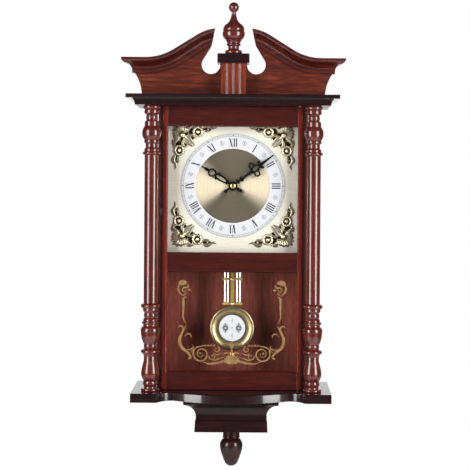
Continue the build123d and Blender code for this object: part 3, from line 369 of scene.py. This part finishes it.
def band(inner, outer, steps=180):
    """A flat ring of four-sided polygons."""
    turns = [2 * pi * k / steps for k in range(steps + 1)]
    return [[(r * sin(t), r * cos(t)) for r, t in ((inner, a), (outer, a), (outer, b), (inner, b))]
            for a, b in zip(turns, turns[1:])]


def dot(x, z, radius, sides=12):
    """A round dot as one polygon."""
    turns = [2 * pi * k / sides for k in range(sides)]
    return [(x + radius * cos(t), z + radius * sin(t)) for t in turns]


def turned_to(polygons, hours, radius):
    """Polygons drawn upright about (0, 0), moved out to a radius and turned to a clock position."""
    t = radians(30 * hours)
    return [[(x * cos(t) + (z + radius) * sin(t), -x * sin(t) + (z + radius) * cos(t)) for x, z in polygon]
            for polygon in polygons]


def bar(x0, z0, x1, z1, wide):
    """A slanting bar with level ends, as the strokes of a letter have."""
    return [(x0 - wide / 2, z0), (x0 + wide / 2, z0), (x1 + wide / 2, z1), (x1 - wide / 2, z1)]


def serif(x, z, wide):
    """A hairline across the end of a stroke."""
    return bar(x, z - SERIF_TALL / 2, x, z + SERIF_TALL / 2, wide)


def numeral(text):
    """A roman numeral with thick and thin strokes and fine serifs, centred on (0, 0)."""
    advance = {"I": 3.3, "V": 6.4, "X": 6.6}
    top = NUMERAL_TALL / 2
    line = top - SERIF_TALL / 2
    across = -sum(advance[c] for c in text) / 2
    out = []
    for c in text:
        x = across + advance[c] / 2
        if c == "I":
            out += [bar(x, -top, x, top, 1.7), serif(x, -line, 2.3), serif(x, line, 2.3)]
        if c == "V":
            out += [bar(x - 2.0, top, x + 0.1, -top, 1.9), bar(x + 2.2, top, x + 0.3, -top, 0.7),
                    serif(x - 2.0, line, 2.8), serif(x + 2.2, line, 1.6)]
        if c == "X":
            out += [bar(x - 2.0, top, x + 2.0, -top, 1.9), bar(x + 2.0, top, x - 2.0, -top, 0.4),
                    serif(x - 2.0, line, 2.8), serif(x + 2.0, line, 1.4), serif(x - 2.0, -line, 1.4),
                    serif(x + 2.0, -line, 2.8)]
        across += advance[c]
    return out


def dial_flower():
    """Eight points round a dot, with a spike above and below."""
    turns = [k * pi / 4 for k in range(8)]
    points = [[(2.7 * r * cos(t + d), 2.7 * r * sin(t + d)) for d, r in
               ((-0.3, 1.0), (0, 0.78), (0.3, 1.0), (0, 1.35))] for t in turns]
    return points + [dot(0, 0, 0.9, 8), [(-0.35, 1.2), (0.35, 1.2), (0.2, 4.6), (-0.2, 4.6)],
                     [(-0.2, -4.6), (0.2, -4.6), (0.35, -1.2), (-0.35, -1.2)]]


def on_dial(polygons):
    """Each polygon as a stroke of its own, moved to the dial's centre."""
    return [[[(x, z + DIAL_Z / MM) for x, z in polygon]] for polygon in polygons]


numerals = []
for hour, text in enumerate("XII I II III IIII V VI VII VIII IX X XI".split()):
    numerals += turned_to(numeral(text), hour, NUMERAL_RADIUS)
flat_piece("roman_numerals", on_dial(numerals), RING_FRONT - NUMERAL_LIFT * MM, black_ink, "case")

# The ground is one stroke, so that all of it lies at one height under the track.
ground = [polygon for stroke in on_dial(band(*TRACK_GROUND)) for polygon in stroke]
flat_piece("track_ground", [ground], RING_FRONT - GROUND_LIFT * MM, pale_ink, "case")

track = band(*TRACK_INNER) + band(*TRACK_OUTER)
for minute in range(60):
    track += turned_to([[(-0.2, MINUTE_MARK[0]), (0.2, MINUTE_MARK[0]), (0.2, MINUTE_MARK[1]),
                         (-0.2, MINUTE_MARK[1])]], minute / 5, 0)
for hour in range(12):
    track += turned_to([dot(0, HOUR_DOT_RADIUS, 1.0)], hour, 0)
    track += turned_to(dial_flower(), hour + 0.5, FLOWER_RADIUS)
flat_piece("minute_track", on_dial(track), RING_FRONT - TRACK_LIFT * MM, grey_ink, "case")

# ---- Centre disc: sheet brass turned to a disc, brushed while it spins, and lacquered. It lies
# inside the chapter ring, and the hands turn in front of it.


def spun_brass():
    """Circular brushing throws the light into a bow tie across the disc. The brush lines are 0.3 mm
    apart, drawn at 0.8 mm to show."""
    made, tree = new_material("spun_brass")
    place = add(tree, "TexCoord").outputs["Object"]
    centred = add(tree, "Mapping", {"Vector": place, "Location": (0, 0, -DIAL_Z)}).outputs[0]
    flat = add(tree, "VectorMath", {0: centred, 1: (1, 0, 1)}, operation="MULTIPLY").outputs[0]
    radius = add(tree, "VectorMath", {0: flat}, operation="LENGTH").outputs["Value"]
    rings = add(tree, "TexNoise", {"W": radius, "Scale": per(0.8), "Detail": 3.0},
                noise_dimensions="1D").outputs["Fac"]
    colour = add(tree, "ValToRGB", {"Fac": rings}, stops=[(0.3, "e8d6ae"), (0.7, "fff4dc")]).outputs[0]
    around = add(tree, "Tangent", direction_type="RADIAL", axis="Y").outputs[0]
    relief = add(tree, "Bump", {"Height": rings, "Strength": 0.15, "Distance": 0.05 * MM}).outputs[0]
    shader = add(tree, "BsdfPrincipled", {
        "Base Color": colour, "Tangent": around, "Normal": relief, "Metallic": 1.0, "Roughness": 0.28,
        "Anisotropic": 0.96, "Anisotropic Rotation": 0.25})
    add(tree, "OutputMaterial", {"Surface": shader.outputs[0]})
    return made


dress(spun_brass(), "centre_disc")

# ---- Spandrels: four brass ornaments cast in sand, gilt, darkened in the hollows by patina and painted
# shade, with a painted highlight on the proud parts, and glued on the corners of the dial plate. A shell
# fans out, rosettes sit beside it and leaves trail off.
PLATE_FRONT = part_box("dial_plate")[0][1]
SHELL_ROOT = 76


def darkened_gilt():
    """Gilt is painted near white where the casting stands 2 mm proud, as a painted highlight, and
    brown-black in its hollows, as patina and painted shade. The sand leaves a grain 1.1 mm across that
    breaks up both."""
    made, tree = new_material("gilt_casting_with_painted_light")
    place = add(tree, "TexCoord").outputs["Object"]
    depth = add(tree, "SeparateXYZ", {"Vector": place}).outputs["Y"]
    proud = add(tree, "MapRange", {"Value": depth, "From Min": PLATE_FRONT - 0.3 * MM,
                                   "From Max": PLATE_FRONT - 2.3 * MM}).outputs[0]
    sand = add(tree, "TexNoise", {"Vector": place, "Scale": per(10 / 9), "Detail": 4.0}).outputs["Fac"]
    mixed = add(tree, "MapRange", {"Value": sand, "To Min": -0.25, "To Max": 0.25}).outputs[0]
    patina_and_painted_light = add(tree, "Math", {0: proud, 1: mixed}, operation="ADD").outputs[0]
    # Low in the relief is patina and painted shade, and high on it is a painted highlight.
    colour = add(tree, "ValToRGB", {"Fac": patina_and_painted_light}, stops=[(0.1, "2a2012"), (0.45, "a08a5c"),
                                                         (0.85, "efe6cc")]).outputs[0]
    relief = add(tree, "Bump", {"Height": sand, "Strength": 0.25, "Distance": 0.15 * MM}).outputs[0]
    shader = add(tree, "BsdfPrincipled", {"Base Color": colour, "Normal": relief, "Metallic": 1.0,
                                          "Roughness": 0.28})
    add(tree, "OutputMaterial", {"Surface": shader.outputs[0]})
    return made


def curve_through(points, steps):
    """A smooth line through (x, z) points."""
    out = []
    ends = [points[0]] + list(points) + [points[-1]]
    for a, b, c, d in zip(ends, ends[1:], ends[2:], ends[3:]):
        for k in range(steps):
            t = k / steps
            out.append(tuple(0.5 * (2 * b[i] + (c[i] - a[i]) * t
                                    + (2 * a[i] - 5 * b[i] + 4 * c[i] - d[i]) * t * t
                                    + (3 * b[i] - a[i] - 3 * c[i] + d[i]) * t ** 3) for i in (0, 1)))
    return out + [tuple(points[-1])]


def heading(line, k):
    """The direction in which a line of points runs at its k-th point."""
    ahead, behind = line[min(k + 1, len(line) - 1)], line[max(k - 1, 0)]
    return Vector((ahead[0] - behind[0], ahead[1] - behind[1])).normalized()


def ray(x, z, turn, *reaches):
    """Points on a line out from (x, z), at these distances."""
    return [(x + reach * cos(turn), z + reach * sin(turn)) for reach in reaches]


def leaf(form, points, wide, tall, place, full=0.45):
    """A domed leaf along a line, widest at `full` of its length, with a vein pressed down its middle."""
    line = curve_through(points, 5)
    rows = []
    for k, (x, z) in enumerate(line):
        t = k / (len(line) - 1)
        swell = sin(pi * t ** (log(0.5) / log(full)))
        run = heading(line, k)
        row = []
        for s, rise in ((-1, 0), (-0.8, 0.62), (-0.45, 1.0), (0, 0.72), (0.45, 1.0), (0.8, 0.62), (1, 0)):
            reach = max(swell, 0.06) * wide / 2 * s
            row.append(form.verts.new(place(x - run.y * reach, z + run.x * reach,
                                            rise * tall * (0.35 + 0.65 * swell))))
        rows.append(row)
    for low, high in zip(rows, rows[1:]):
        for k in range(6):
            form.faces.new((low[k], low[k + 1], high[k + 1], high[k]))


def boss(form, x, z, radius, tall, place):
    """A low round bead."""
    sides = 14
    turns = [2 * pi * k / sides for k in range(sides)]
    rings = [[form.verts.new(place(x + radius * cos(a) * cos(u), z + radius * sin(a) * cos(u),
                                   tall * sin(u))) for a in turns] for u in (0, 0.45, 0.9, 1.25)]
    top = form.verts.new(place(x, z, tall))
    for low, high in zip(rings, rings[1:]):
        for k in range(sides):
            form.faces.new((low[k], low[(k + 1) % sides], high[(k + 1) % sides], high[k]))
    for k in range(sides):
        form.faces.new((rings[-1][k], rings[-1][(k + 1) % sides], top))


def spandrel(across, up, gilt):
    """One casting. Points are millimetres from the dial's centre, in the upper right quarter, and the
    signs turn them into the other three."""
    def place(x, z, rise):
        return (across * x * MM, PLATE_FRONT - rise * MM, DIAL_Z + up * z * MM)
    form = bmesh.new()
    # The shell: nine lobes from one root, on a bead and a low dish.
    for k in range(9):
        turn = radians(45 + (k - 4) * 20)
        leaf(form, ray(SHELL_ROOT, SHELL_ROOT, turn, 2, 19 - abs(k - 4) * 1.3), 5.6, 2.6, place, full=0.68)
    boss(form, SHELL_ROOT, SHELL_ROOT, 4.2, 3.4, place)
    boss(form, SHELL_ROOT + 2, SHELL_ROOT + 2, 12.5, 0.8, place)
    # The rest is the same on both sides of the corner's diagonal.
    for flip in (False, True):
        def both(points):
            return [(z, x) for x, z in points] if flip else points
        # Leaves under the shell.
        leaf(form, both([(74, 74), (66, 71), (58, 60)]), 6.5, 2.6, place)
        leaf(form, both([(72, 73), (62, 76), (57, 70)]), 5.0, 2.2, place)
        leaf(form, both([(72, 78), (66, 88), (57, 90)]), 5.5, 2.4, place)
        leaf(form, both([(62, 88), (68, 84), (67, 77)]), 4.0, 2.0, place)
        # The rosette: a raised ring of petals round a bead, on a low dish, dark from patina and painted
        # shade.
        x, z = both([(53, 81)])[0]
        boss(form, x, z, 8.6, 0.8, place)
        for k in range(12):
            leaf(form, ray(x, z, k * pi / 6, 4.4, 8.4), 4.6, 2.9, place, full=0.55)
        boss(form, x, z, 3.5, 3.2, place)
        # Low webs tie the leaves together.
        for x, z, radius in ((66, 82, 7), (42, 86, 3.6), (35, 87, 3.0), (64, 74, 6)):
            boss(form, *both([(x, z)])[0], radius, 0.7, place)
        # Leaves that trail along the edge.
        leaf(form, both([(47, 86), (38, 90), (31, 86), (24, 88)]), 5.2, 2.4, place, full=0.35)
        leaf(form, both([(46, 83), (39, 82), (33, 84)]), 4.2, 2.0, place)
        leaf(form, both([(44, 88), (40, 91), (35, 91)]), 3.4, 1.8, place)
        leaf(form, both([(60, 85), (63, 90.5), (70, 91)]), 3.6, 1.8, place)
    bmesh.ops.recalc_face_normals(form, faces=form.faces)
    name = "spandrel_" + ("upper" if up > 0 else "lower") + ("_right" if across > 0 else "_left")
    made = made_from(form, name, gilt)
    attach(made, "case")
    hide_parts("spandrels")


gilt = darkened_gilt()
for across in (-1, 1):
    for up in (-1, 1):
        spandrel(across, up, gilt)

# ---- Hands: stamped from 0.6 mm steel and pressed on their arbors. Stoving bakes the black enamel
# to a hard, even gloss, so they show as flat black with a thin highlight.
dress(satin_enamel("stoved_black_enamel", "0b0b0c", "121213", 0.2), "hour_hand", "minute_hand")

# ---- Pendulum: nickel-plated rods between brass crossbars, a spun brass bob and an enamelled face.
# It hangs from a lever behind the dial, and a rating nut under the bob sets its rate.


def nickel_plate():
    """Bright nickel is almost a mirror, a little warmer than chrome. The plate follows the draw
    lines of the rod under it, which are fine and long, and are drawn at 0.6 mm to show."""
    made, tree = new_material("bright_nickel_plate")
    place = add(tree, "TexCoord").outputs["Object"]
    drawn = add(tree, "Mapping", {"Vector": place, "Scale": (1.0, 1.0, 0.03)}).outputs[0]
    lines = add(tree, "TexNoise", {"Vector": drawn, "Scale": per(10 / 18), "Detail": 2.0}).outputs["Fac"]
    colour = add(tree, "ValToRGB", {"Fac": lines}, stops=[(0.3, "cfcdc8"), (0.7, "e8e6e2")]).outputs[0]
    rough = add(tree, "MapRange", {"Value": lines, "To Min": 0.10, "To Max": 0.22}).outputs[0]
    shader = add(tree, "BsdfPrincipled", {"Base Color": colour, "Roughness": rough, "Metallic": 1.0})
    add(tree, "OutputMaterial", {"Surface": shader.outputs[0]})
    return made


nickel = nickel_plate()
dress(nickel, "pendulum_rods", "door_pull")
# The bob is spun and left from a fine abrasive, so it is greyer and softer than polished brass.
dress(polished_brass("spun_bob_brass", "94835f", "aa9875", 0.32, 0.38), "bob_shell")
dress(white_enamel, "bob_face")
# The bars and the strip have a lacquer over dull brass, which hides most of the metal's gloss.
satin_brass = polished_brass("satin_brass", "927d38", "ab964c", 0.42, 0.55, metallic=0.6)
dress(satin_brass, "crossbars", "pendulum_strip")

# ---- Crossbar studs: each bar has a round lobe of brass at both ends and at both rod pairs, and a
# nickel rivet with a domed head in the middle, clenched behind the strip.
BARS_LOW, BARS_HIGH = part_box("crossbars")
HALF_BAR, RIVET_HEAD = 2.4, 0.7
BAR_ZS = (BARS_HIGH[2] / MM - HALF_BAR, -232.4, BARS_LOW[2] / MM + HALF_BAR)


def studs(name, places, y, material):
    """Domed studs at (x, z, radius, height) in millimetres."""
    form = bmesh.new()
    for x, z, radius, tall in places:
        boss(form, x, z, radius, tall, lambda px, pz, rise: (px * MM, y - rise * MM, pz * MM))
    bmesh.ops.recalc_face_normals(form, faces=form.faces)
    made = made_from(form, name, material)
    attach(made, "pendulum")


lobes = [(side * x, z, radius, 0.9) for z in BAR_ZS for side in (-1, 1)
         for x, radius in ((13.2, 2.3), (9.2, 2.1), (4.6, 1.8))]
studs("crossbar_lobes", lobes, BARS_LOW[1] + RIVET_HEAD * MM, satin_brass)
studs("crossbar_rivets", [(0, z, 2.0, 1.0) for z in BAR_ZS], BARS_LOW[1], nickel)

# ---- The door: two stiles with three rails glued between them, and glazing beads behind, all of the
# red-brown hardwood. It hangs on two brass pins, and a magnet holds the other stile.

# The door is sprayed as one and has one deep gloss over one stain. The stiles are painted lighter, as a
# painted sheen, and the rails darker, as painted shade, for the way the light catches the grain each way.
dress(lacquered_timber("door_wood_upright_painted_sheen", "4a140e", "5f1a13", "701f17", "Z"),
      "door_stiles", "glazing_beads")
dress(lacquered_timber("door_wood_across_painted_shade", "280907", "350d09", "43120d", "X"), "door_rails")

# ---- Door glass: two panes of 2 mm float glass, cut to size, laid in the rebates of the door from
# behind and held there by the glazing beads.


def float_glass():
    """Float glass is almost clear: a faint grey-green film with a sharp reflection. The film drifts
    between two shades in patches 83 mm wide, as wiping leaves it."""
    made, tree = new_material("float_glass")
    place = add(tree, "TexCoord").outputs["Object"]
    film = add(tree, "TexNoise", {"Vector": place, "Scale": per(83.3), "Detail": 2.0}).outputs["Fac"]
    colour = add(tree, "ValToRGB", {"Fac": film}, stops=[(0.3, "101614"), (0.7, "18201e")]).outputs[0]
    shader = add(tree, "BsdfPrincipled", {"Base Color": colour, "Roughness": 0.03, "IOR": 1.5,
                                          "Alpha": 0.05})
    add(tree, "OutputMaterial", {"Surface": shader.outputs[0]})
    return made


dress(float_glass(), "door_glass")

# ---- Gold ornament on the lower glass: screen printed on its back in a dull gold ink. Flower stems
# rise each side from acanthus scrolls that meet in a small shell.

# Gold ink is bronze powder in varnish: a metal's colour with little of its gloss.
gold_ink = polished_brass("gold_screen_ink", "80603a", "a07e4e", 0.4, 0.55, metallic=0.35)


def ribbon(points, wide, full=0.5, steps=7):
    """A flat brush stroke along a smooth line, as four-sided polygons, widest at `full`."""
    line = curve_through(points, steps)
    sides = []
    for k, (x, z) in enumerate(line):
        t = k / (len(line) - 1)
        swell = 1 - abs(t - full) / max(full, 1 - full)
        run = heading(line, k)
        reach = wide / 2 * (0.25 + 0.75 * swell)
        sides.append(((x - run.y * reach, z + run.x * reach), (x + run.y * reach, z - run.x * reach)))
    return [[[a[0], a[1], b[1], b[0]] for a, b in zip(sides, sides[1:])]]


def spiral(x, z, radius, turns, start, wide, hand=1):
    """A scroll that winds in to (x, z), with ten points to the turn."""
    points = []
    for k in range(int(turns * 10) + 1):
        a = start + hand * k * pi / 5
        r = radius * (1 - 0.82 * k / (turns * 10))
        points.append((x + r * cos(a), z + r * sin(a)))
    return ribbon(points, wide, full=0.15, steps=3)


def petal(x, z, turn, long, wide):
    """A short stroke out from (x, z), in degrees from the viewer's right."""
    return ribbon(ray(x, z, radians(turn), 0, long / 2, long), wide, full=0.55, steps=4)


# The left half, in millimetres, drawn as brush strokes.
ornament = []
# The flower: an opened head over a curled leaf and a small bud.
for k in range(6):
    ornament += petal(-73.5, -239.5, 40 + k * 24, 7.5, 3.8)
ornament += ribbon([(-77, -238), (-80.5, -243), (-79, -250), (-74, -255)], 3.4)
ornament += ribbon([(-66.5, -238), (-65, -241.5), (-68.5, -243.5), (-72.5, -242)], 2.6)
ornament += spiral(-70.8, -247.3, 4.6, 1.1, 0.6, 1.8) + petal(-66.5, -247, 0, 5.0, 3.0)
ornament += ribbon([(-74, -255.5), (-70.5, -254), (-67.5, -250.5)], 1.8)
# The stem, cut like a reed.
ornament += ribbon([(-68.5, -257), (-72.2, -259.5), (-72.6, -263), (-72.4, -275), (-72.8, -288),
                    (-69, -297)], 3.4, full=0.4)
# The acanthus arm and the curls on its inner side.
ornament += ribbon([(-79.5, -303), (-76.5, -300.5), (-72, -305), (-75.5, -314), (-78, -323),
                    (-74.5, -333), (-66, -340), (-61, -347), (-65, -350)], 5.0, full=0.55)
ornament += ribbon([(-73.6, -309), (-69.5, -303), (-68, -300)], 1.8)
ornament += ribbon([(-71, -317), (-66, -312.6), (-61.5, -313.6), (-60.8, -318.5)], 2.0)
ornament += ribbon([(-69.5, -336), (-62, -336), (-57.4, -332.5), (-59, -329.5)], 2.0)
ornament += ribbon([(-62, -341), (-57, -336), (-50, -332), (-40, -330.4), (-24, -330.4)], 1.8)
for k in range(4):
    ornament += petal(-40 + 4.6 * k, -331, 80, 2.6, 2.4)
# The large scroll, a smaller one beyond it, and the links between them.
ornament += spiral(-45.6, -342.6, 12.4, 1.7, 2.6, 2.4)
ornament += petal(-45.6, -342.6, 150, 3.4, 3.4)
ornament += spiral(-22.5, -335.6, 5.0, 1.2, 1.2, 1.8, hand=-1)
ornament += spiral(-28.5, -346.4, 5.6, 1.1, 2.9, 1.8)
ornament += ribbon([(-27, -341), (-24, -343.6), (-19, -343), (-14, -340)], 2.2)
ornament += ribbon([(-34, -349), (-26, -352), (-18, -349), (-10, -347)], 2.0)
# Long reeds under the scrolls.
for drop in range(3):
    ornament += ribbon([(-45 + 4 * drop, -353.6 - drop * 1.2), (-34, -356.6 - drop * 0.6),
                        (-20, -354.6 - drop), (-6, -350 - drop * 1.6)], 1.7)
# The shell in the middle, with a small plume on it.
for k in range(5):
    ornament += petal(0, -357.5, 90 + k * 17, 15.5 - k * 0.6, 4.4)
ornament += ribbon([(-13.4, -343.4), (-8, -340.6), (0, -341.6)], 2.2)
ornament += ribbon([(0, -341), (-0.6, -334), (-1.6, -328), (0, -324)], 2.6)
ornament += ribbon([(-1.6, -333), (-4.4, -327.4), (-9, -327), (-10.4, -330.4)], 1.6)
# The right half is its mirror.
ornament += [[[(-x, z) for x, z in polygon] for polygon in stroke] for stroke in ornament]
GLASS_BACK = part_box("door_glass")[1][1]
flat_piece("gold_ornament", ornament, GLASS_BACK + 0.06 * MM, gold_ink, "door")

# ---- Bob face print: black ink screened on the white enamel. A small scroll stands each side of a
# centre dot, with a tick above and below.
BOB_LOW, BOB_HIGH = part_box("bob_face")
BOB_Z = (BOB_LOW[2] + BOB_HIGH[2]) / 2 / MM
marks = [[dot(0, BOB_Z, 1.0)]]
for hand in (-1, 1):
    marks += [[[(-0.4, BOB_Z + hand * 9), (0.4, BOB_Z + hand * 9), (0.3, BOB_Z + hand * 15),
                (-0.3, BOB_Z + hand * 15)]]]
    for k in range(8):
        marks += petal(hand * 10 + 1.2 * cos(k * pi / 4), BOB_Z + 1.2 * sin(k * pi / 4), 45 * k, 3.9, 2.3)
    for up in (-1, 1):
        marks += ribbon([(hand * 7.4, BOB_Z + up * 4.8), (hand * 10, BOB_Z + up * 6.6),
                         (hand * 12.6, BOB_Z + up * 4.8)], 1.3)
flat_piece("bob_marks", marks, BOB_LOW[1] - NUMERAL_LIFT * MM, black_ink, "pendulum")

# ---- Studio: a pale paper floor well below the clock, two tall soft lights at the sides, a weak one
# in front and above, and a wide one behind. The lights themselves aren't seen.
FLOOR_Z, CLOCK_MIDDLE = -0.95, (0, -0.05, -0.15)


def matte_paper():
    """Uncoated paper is nearly white and has no gloss, with flecks drawn at 25 mm."""
    made, tree = new_material("pale_floor")
    place = add(tree, "TexCoord").outputs["Object"]
    fleck = add(tree, "TexNoise", {"Vector": place, "Scale": per(25), "Detail": 2.0}).outputs["Fac"]
    colour = add(tree, "ValToRGB", {"Fac": fleck}, stops=[(0.3, "e6e6e4"), (0.7, "ececea")]).outputs[0]
    shader = add(tree, "BsdfPrincipled", {"Base Color": colour, "Roughness": 0.8})
    add(tree, "OutputMaterial", {"Surface": shader.outputs[0]})
    return made


floor_mesh = bpy.data.meshes.new("floor")
floor_corners = [(x, y, FLOOR_Z) for x, y in ((-1.6, -1.4), (1.6, -1.4), (1.6, 1.2), (-1.6, 1.2))]
floor_mesh.from_pydata(floor_corners, [], [(0, 1, 2, 3)])
floor = bpy.data.objects.new("floor", floor_mesh)
floor.data.materials.append(matte_paper())
bpy.context.scene.collection.objects.link(floor)


def soft_light(name, place, aim, wide, tall, watts):
    """A soft box of this size in metres, turned towards a point."""
    data = bpy.data.lights.new(name, "AREA")
    data.shape = "RECTANGLE"
    data.size, data.size_y, data.energy = wide, tall, watts
    made = bpy.data.objects.new(name, data)
    made.location = place
    made.rotation_euler = (Vector(aim) - Vector(place)).to_track_quat("-Z", "Y").to_euler()
    made.visible_camera = False
    bpy.context.scene.collection.objects.link(made)


soft_light("left_light", (-1.1, -1.1, 0.0), CLOCK_MIDDLE, 0.6, 1.4, 32)
soft_light("right_light", (1.15, -1.1, 0.0), CLOCK_MIDDLE, 0.6, 1.4, 37)
soft_light("front_light", (0.0, -2.2, 0.7), CLOCK_MIDDLE, 1.0, 0.6, 1.2)
soft_light("back_light", (0.0, 1.6, 0.1), (0, 0.0, -0.15), 2.4, 1.6, 12)

# The world is white to the eye and lights the clock only a little.
world = bpy.data.worlds.new("studio")
world.use_nodes = True
sky = world.node_tree
sky.nodes.clear()
seen = add(sky, "LightPath").outputs["Is Camera Ray"]
dim = add(sky, "Background", {"Color": linear("ffffff"), "Strength": 0.07}).outputs[0]
white = add(sky, "Background", {"Color": linear("ffffff"), "Strength": 1.0}).outputs[0]
mixed = add(sky, "MixShader", {"Fac": seen, 1: dim, 2: white}).outputs[0]
add(sky, "OutputWorld", {"Surface": mixed})
bpy.context.scene.world = world
bpy.context.scene.view_settings.view_transform = "Standard"

# A long lens, 1.9 m in front of the wall and a little to the viewer's right, held almost level. The
# shift moves the frame over the clock while the sides stay upright.
lens = bpy.data.cameras.new("camera")
lens.lens, lens.sensor_width = 93.55, 36
lens.shift_x, lens.shift_y = -0.0427, -0.1128
camera = bpy.data.objects.new("camera", lens)
camera.location = (0.0333, -1.9, -0.085)
camera.rotation_euler = (pi / 2, radians(-0.4), 0)
bpy.context.scene.collection.objects.link(camera)
bpy.context.scene.camera = camera
